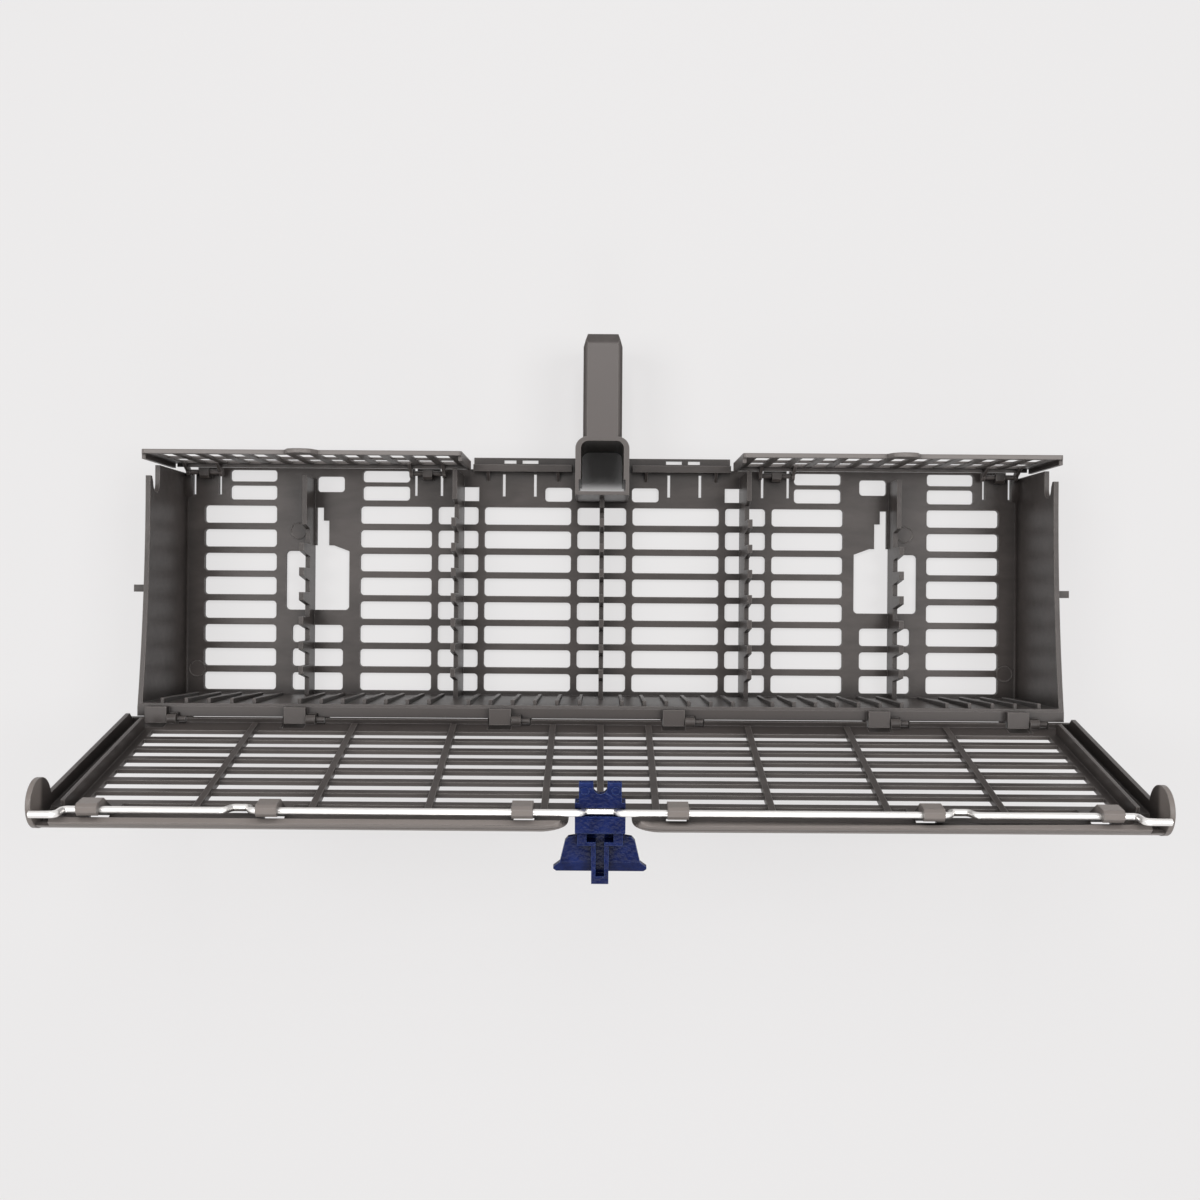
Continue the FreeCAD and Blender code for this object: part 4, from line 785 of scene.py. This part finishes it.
def tubeShade(tree):
    # 0 on the paper inside the tube, 1 elsewhere: 1 - (|x| < half) (y < end) smoothstep(y)
    where = nodeIn(tree, "ShaderNodeTexCoord")
    parts = nodeIn(tree, "ShaderNodeSeparateXYZ")
    aside = nodeIn(tree, "ShaderNodeMath", operation="ABSOLUTE")
    inside = nodeIn(tree, "ShaderNodeMath", operation="LESS_THAN")
    before = nodeIn(tree, "ShaderNodeMath", operation="LESS_THAN")
    climb = nodeIn(tree, "ShaderNodeMapRange", interpolation_type="SMOOTHSTEP")
    first = nodeIn(tree, "ShaderNodeMath", operation="MULTIPLY")
    second = nodeIn(tree, "ShaderNodeMath", operation="MULTIPLY")
    rest = nodeIn(tree, "ShaderNodeMath", operation="SUBTRACT")
    inside.inputs[1].default_value = stageLook["tubeHalf"]
    before.inputs[1].default_value = stageLook["tubeEnd"]
    climb.inputs["From Min"].default_value = stageLook["tubeFrom"][0]
    climb.inputs["From Max"].default_value = stageLook["tubeFrom"][1]
    rest.inputs[0].default_value = 1.0
    link = tree.links.new
    link(where.outputs["Object"], parts.inputs["Vector"])
    link(parts.outputs["X"], aside.inputs[0])
    link(aside.outputs["Value"], inside.inputs[0])
    link(parts.outputs["Y"], before.inputs[0])
    link(parts.outputs["Y"], climb.inputs["Value"])
    link(inside.outputs["Value"], first.inputs[0])
    link(before.outputs["Value"], first.inputs[1])
    link(first.outputs["Value"], second.inputs[0])
    link(climb.outputs["Result"], second.inputs[1])
    link(second.outputs["Value"], rest.inputs[1])
    return rest.outputs["Value"]


def seenStraight(tree):
    # 1 for camera, glossy and transmission rays
    ray = nodeIn(tree, "ShaderNodeLightPath")
    seen = nodeIn(tree, "ShaderNodeMath", operation="MAXIMUM")
    either = nodeIn(tree, "ShaderNodeMath", operation="MAXIMUM")
    link = tree.links.new
    link(ray.outputs["Is Camera Ray"], seen.inputs[0])
    link(ray.outputs["Is Glossy Ray"], seen.inputs[1])
    link(seen.outputs["Value"], either.inputs[0])
    link(ray.outputs["Is Transmission Ray"], either.inputs[1])
    return either.outputs["Value"]


def paperGlow(tree, shader):
    # To the camera and to mirrors a share of the paper is as pale as in the overexposed photo.
    # That share lights nothing, and the rest keeps the shadows.
    share = nodeIn(tree, "ShaderNodeMath", operation="MULTIPLY")
    share.inputs[1].default_value = stageLook["glowShare"]
    outside = nodeIn(tree, "ShaderNodeMath", operation="MULTIPLY")
    glow = nodeIn(tree, "ShaderNodeEmission")
    glow.inputs["Color"].default_value = stageLook["paperGlow"] + (1.0,)
    both = nodeIn(tree, "ShaderNodeMixShader")
    link = tree.links.new
    link(seenStraight(tree), share.inputs[0])
    link(share.outputs["Value"], outside.inputs[0])
    link(tubeShade(tree), outside.inputs[1])
    link(outside.outputs["Value"], both.inputs[0])
    link(shader.outputs["BSDF"], both.inputs[1])
    link(glow.outputs["Emission"], both.inputs[2])
    link(both.outputs["Shader"], tree.nodes["Material Output"].inputs["Surface"])


def makeFloor():
    half = stageLook["floorSize"] / 2
    level = -stageLook["floorDrop"]
    corners = [(-half, -half, level), (half, -half, level), (half, half, level), (-half, half, level)]
    mesh = bpy.data.meshes.new("table")
    mesh.from_pydata(corners, [], [(0, 1, 2, 3)])
    floor = bpy.data.objects.new("table", mesh)
    bpy.context.scene.collection.objects.link(floor)
    material = bpy.data.materials.new("tablePaper")
    material.use_nodes = True
    shader = material.node_tree.nodes["Principled BSDF"]
    shader.inputs["Base Color"].default_value = stageLook["floorColour"] + (1.0,)
    shader.inputs["Roughness"].default_value = stageLook["paperRoughness"]
    shader.inputs["Specular IOR Level"].default_value = stageLook["paperShine"]
    paperGlow(material.node_tree, shader)
    mesh.materials.append(material)


def makeLamps():
    # Square lamps as (place, side, watts) that face lookAt, and a pale sky
    target = np.array(stageLook["lookAt"])
    for name, (place, size, power) in stageLook["lamps"].items():
        light = bpy.data.lights.new(name, "AREA")
        light.shape = "SQUARE"
        light.size = size
        light.energy = power
        lamp = bpy.data.objects.new(name, light)
        lamp.location = place
        away = np.array(place) - target
        turn = math.atan2(away[0], -away[1])
        tilt = math.atan2(math.hypot(away[0], away[1]), away[2])
        lamp.rotation_euler = (tilt, 0.0, turn)
        bpy.context.scene.collection.objects.link(lamp)
    world = bpy.data.worlds.new("softRoom")
    world.use_nodes = True
    sky = world.node_tree.nodes["Background"]
    sky.inputs["Color"].default_value = (1.0, 1.0, 1.0, 1.0)
    strength = nodeIn(world.node_tree, "ShaderNodeMapRange")
    strength.inputs["To Min"].default_value = stageLook["skyStrength"]
    strength.inputs["To Max"].default_value = stageLook["skySeen"]
    world.node_tree.links.new(seenStraight(world.node_tree), strength.inputs["Value"])
    world.node_tree.links.new(strength.outputs["Result"], sky.inputs["Strength"])
    bpy.context.scene.world = world


cameraLook = {
    "height": 0.719,       # above the table
    "focal": 1311.0,       # in pixels of the 1200 pixel image
    "imageSize": 1200.0,
    "middle": (600.0, 598.0),
    "turn": 0.4,           # degrees, against the clock
    "aside": -0.0007,
}


def makeCamera():
    lens = bpy.data.cameras.new("photoLens")
    lens.sensor_width = 36.0
    lens.sensor_fit = "HORIZONTAL"
    lens.lens = cameraLook["focal"] / cameraLook["imageSize"] * lens.sensor_width
    half = cameraLook["imageSize"] / 2
    lens.shift_x = (half - cameraLook["middle"][0]) / cameraLook["imageSize"]
    lens.shift_y = (cameraLook["middle"][1] - half) / cameraLook["imageSize"]
    lens.clip_start = 0.01
    camera = bpy.data.objects.new("photoCamera", lens)
    camera.location = (cameraLook["aside"], 0.0, cameraLook["height"])
    camera.rotation_euler = (0.0, 0.0, math.radians(cameraLook["turn"]))
    bpy.context.scene.collection.objects.link(camera)
    bpy.context.scene.camera = camera


makeFloor()
makeLamps()
makeCamera()
bpy.context.scene.view_settings.view_transform = "Standard"
print("stage: table, light and camera")
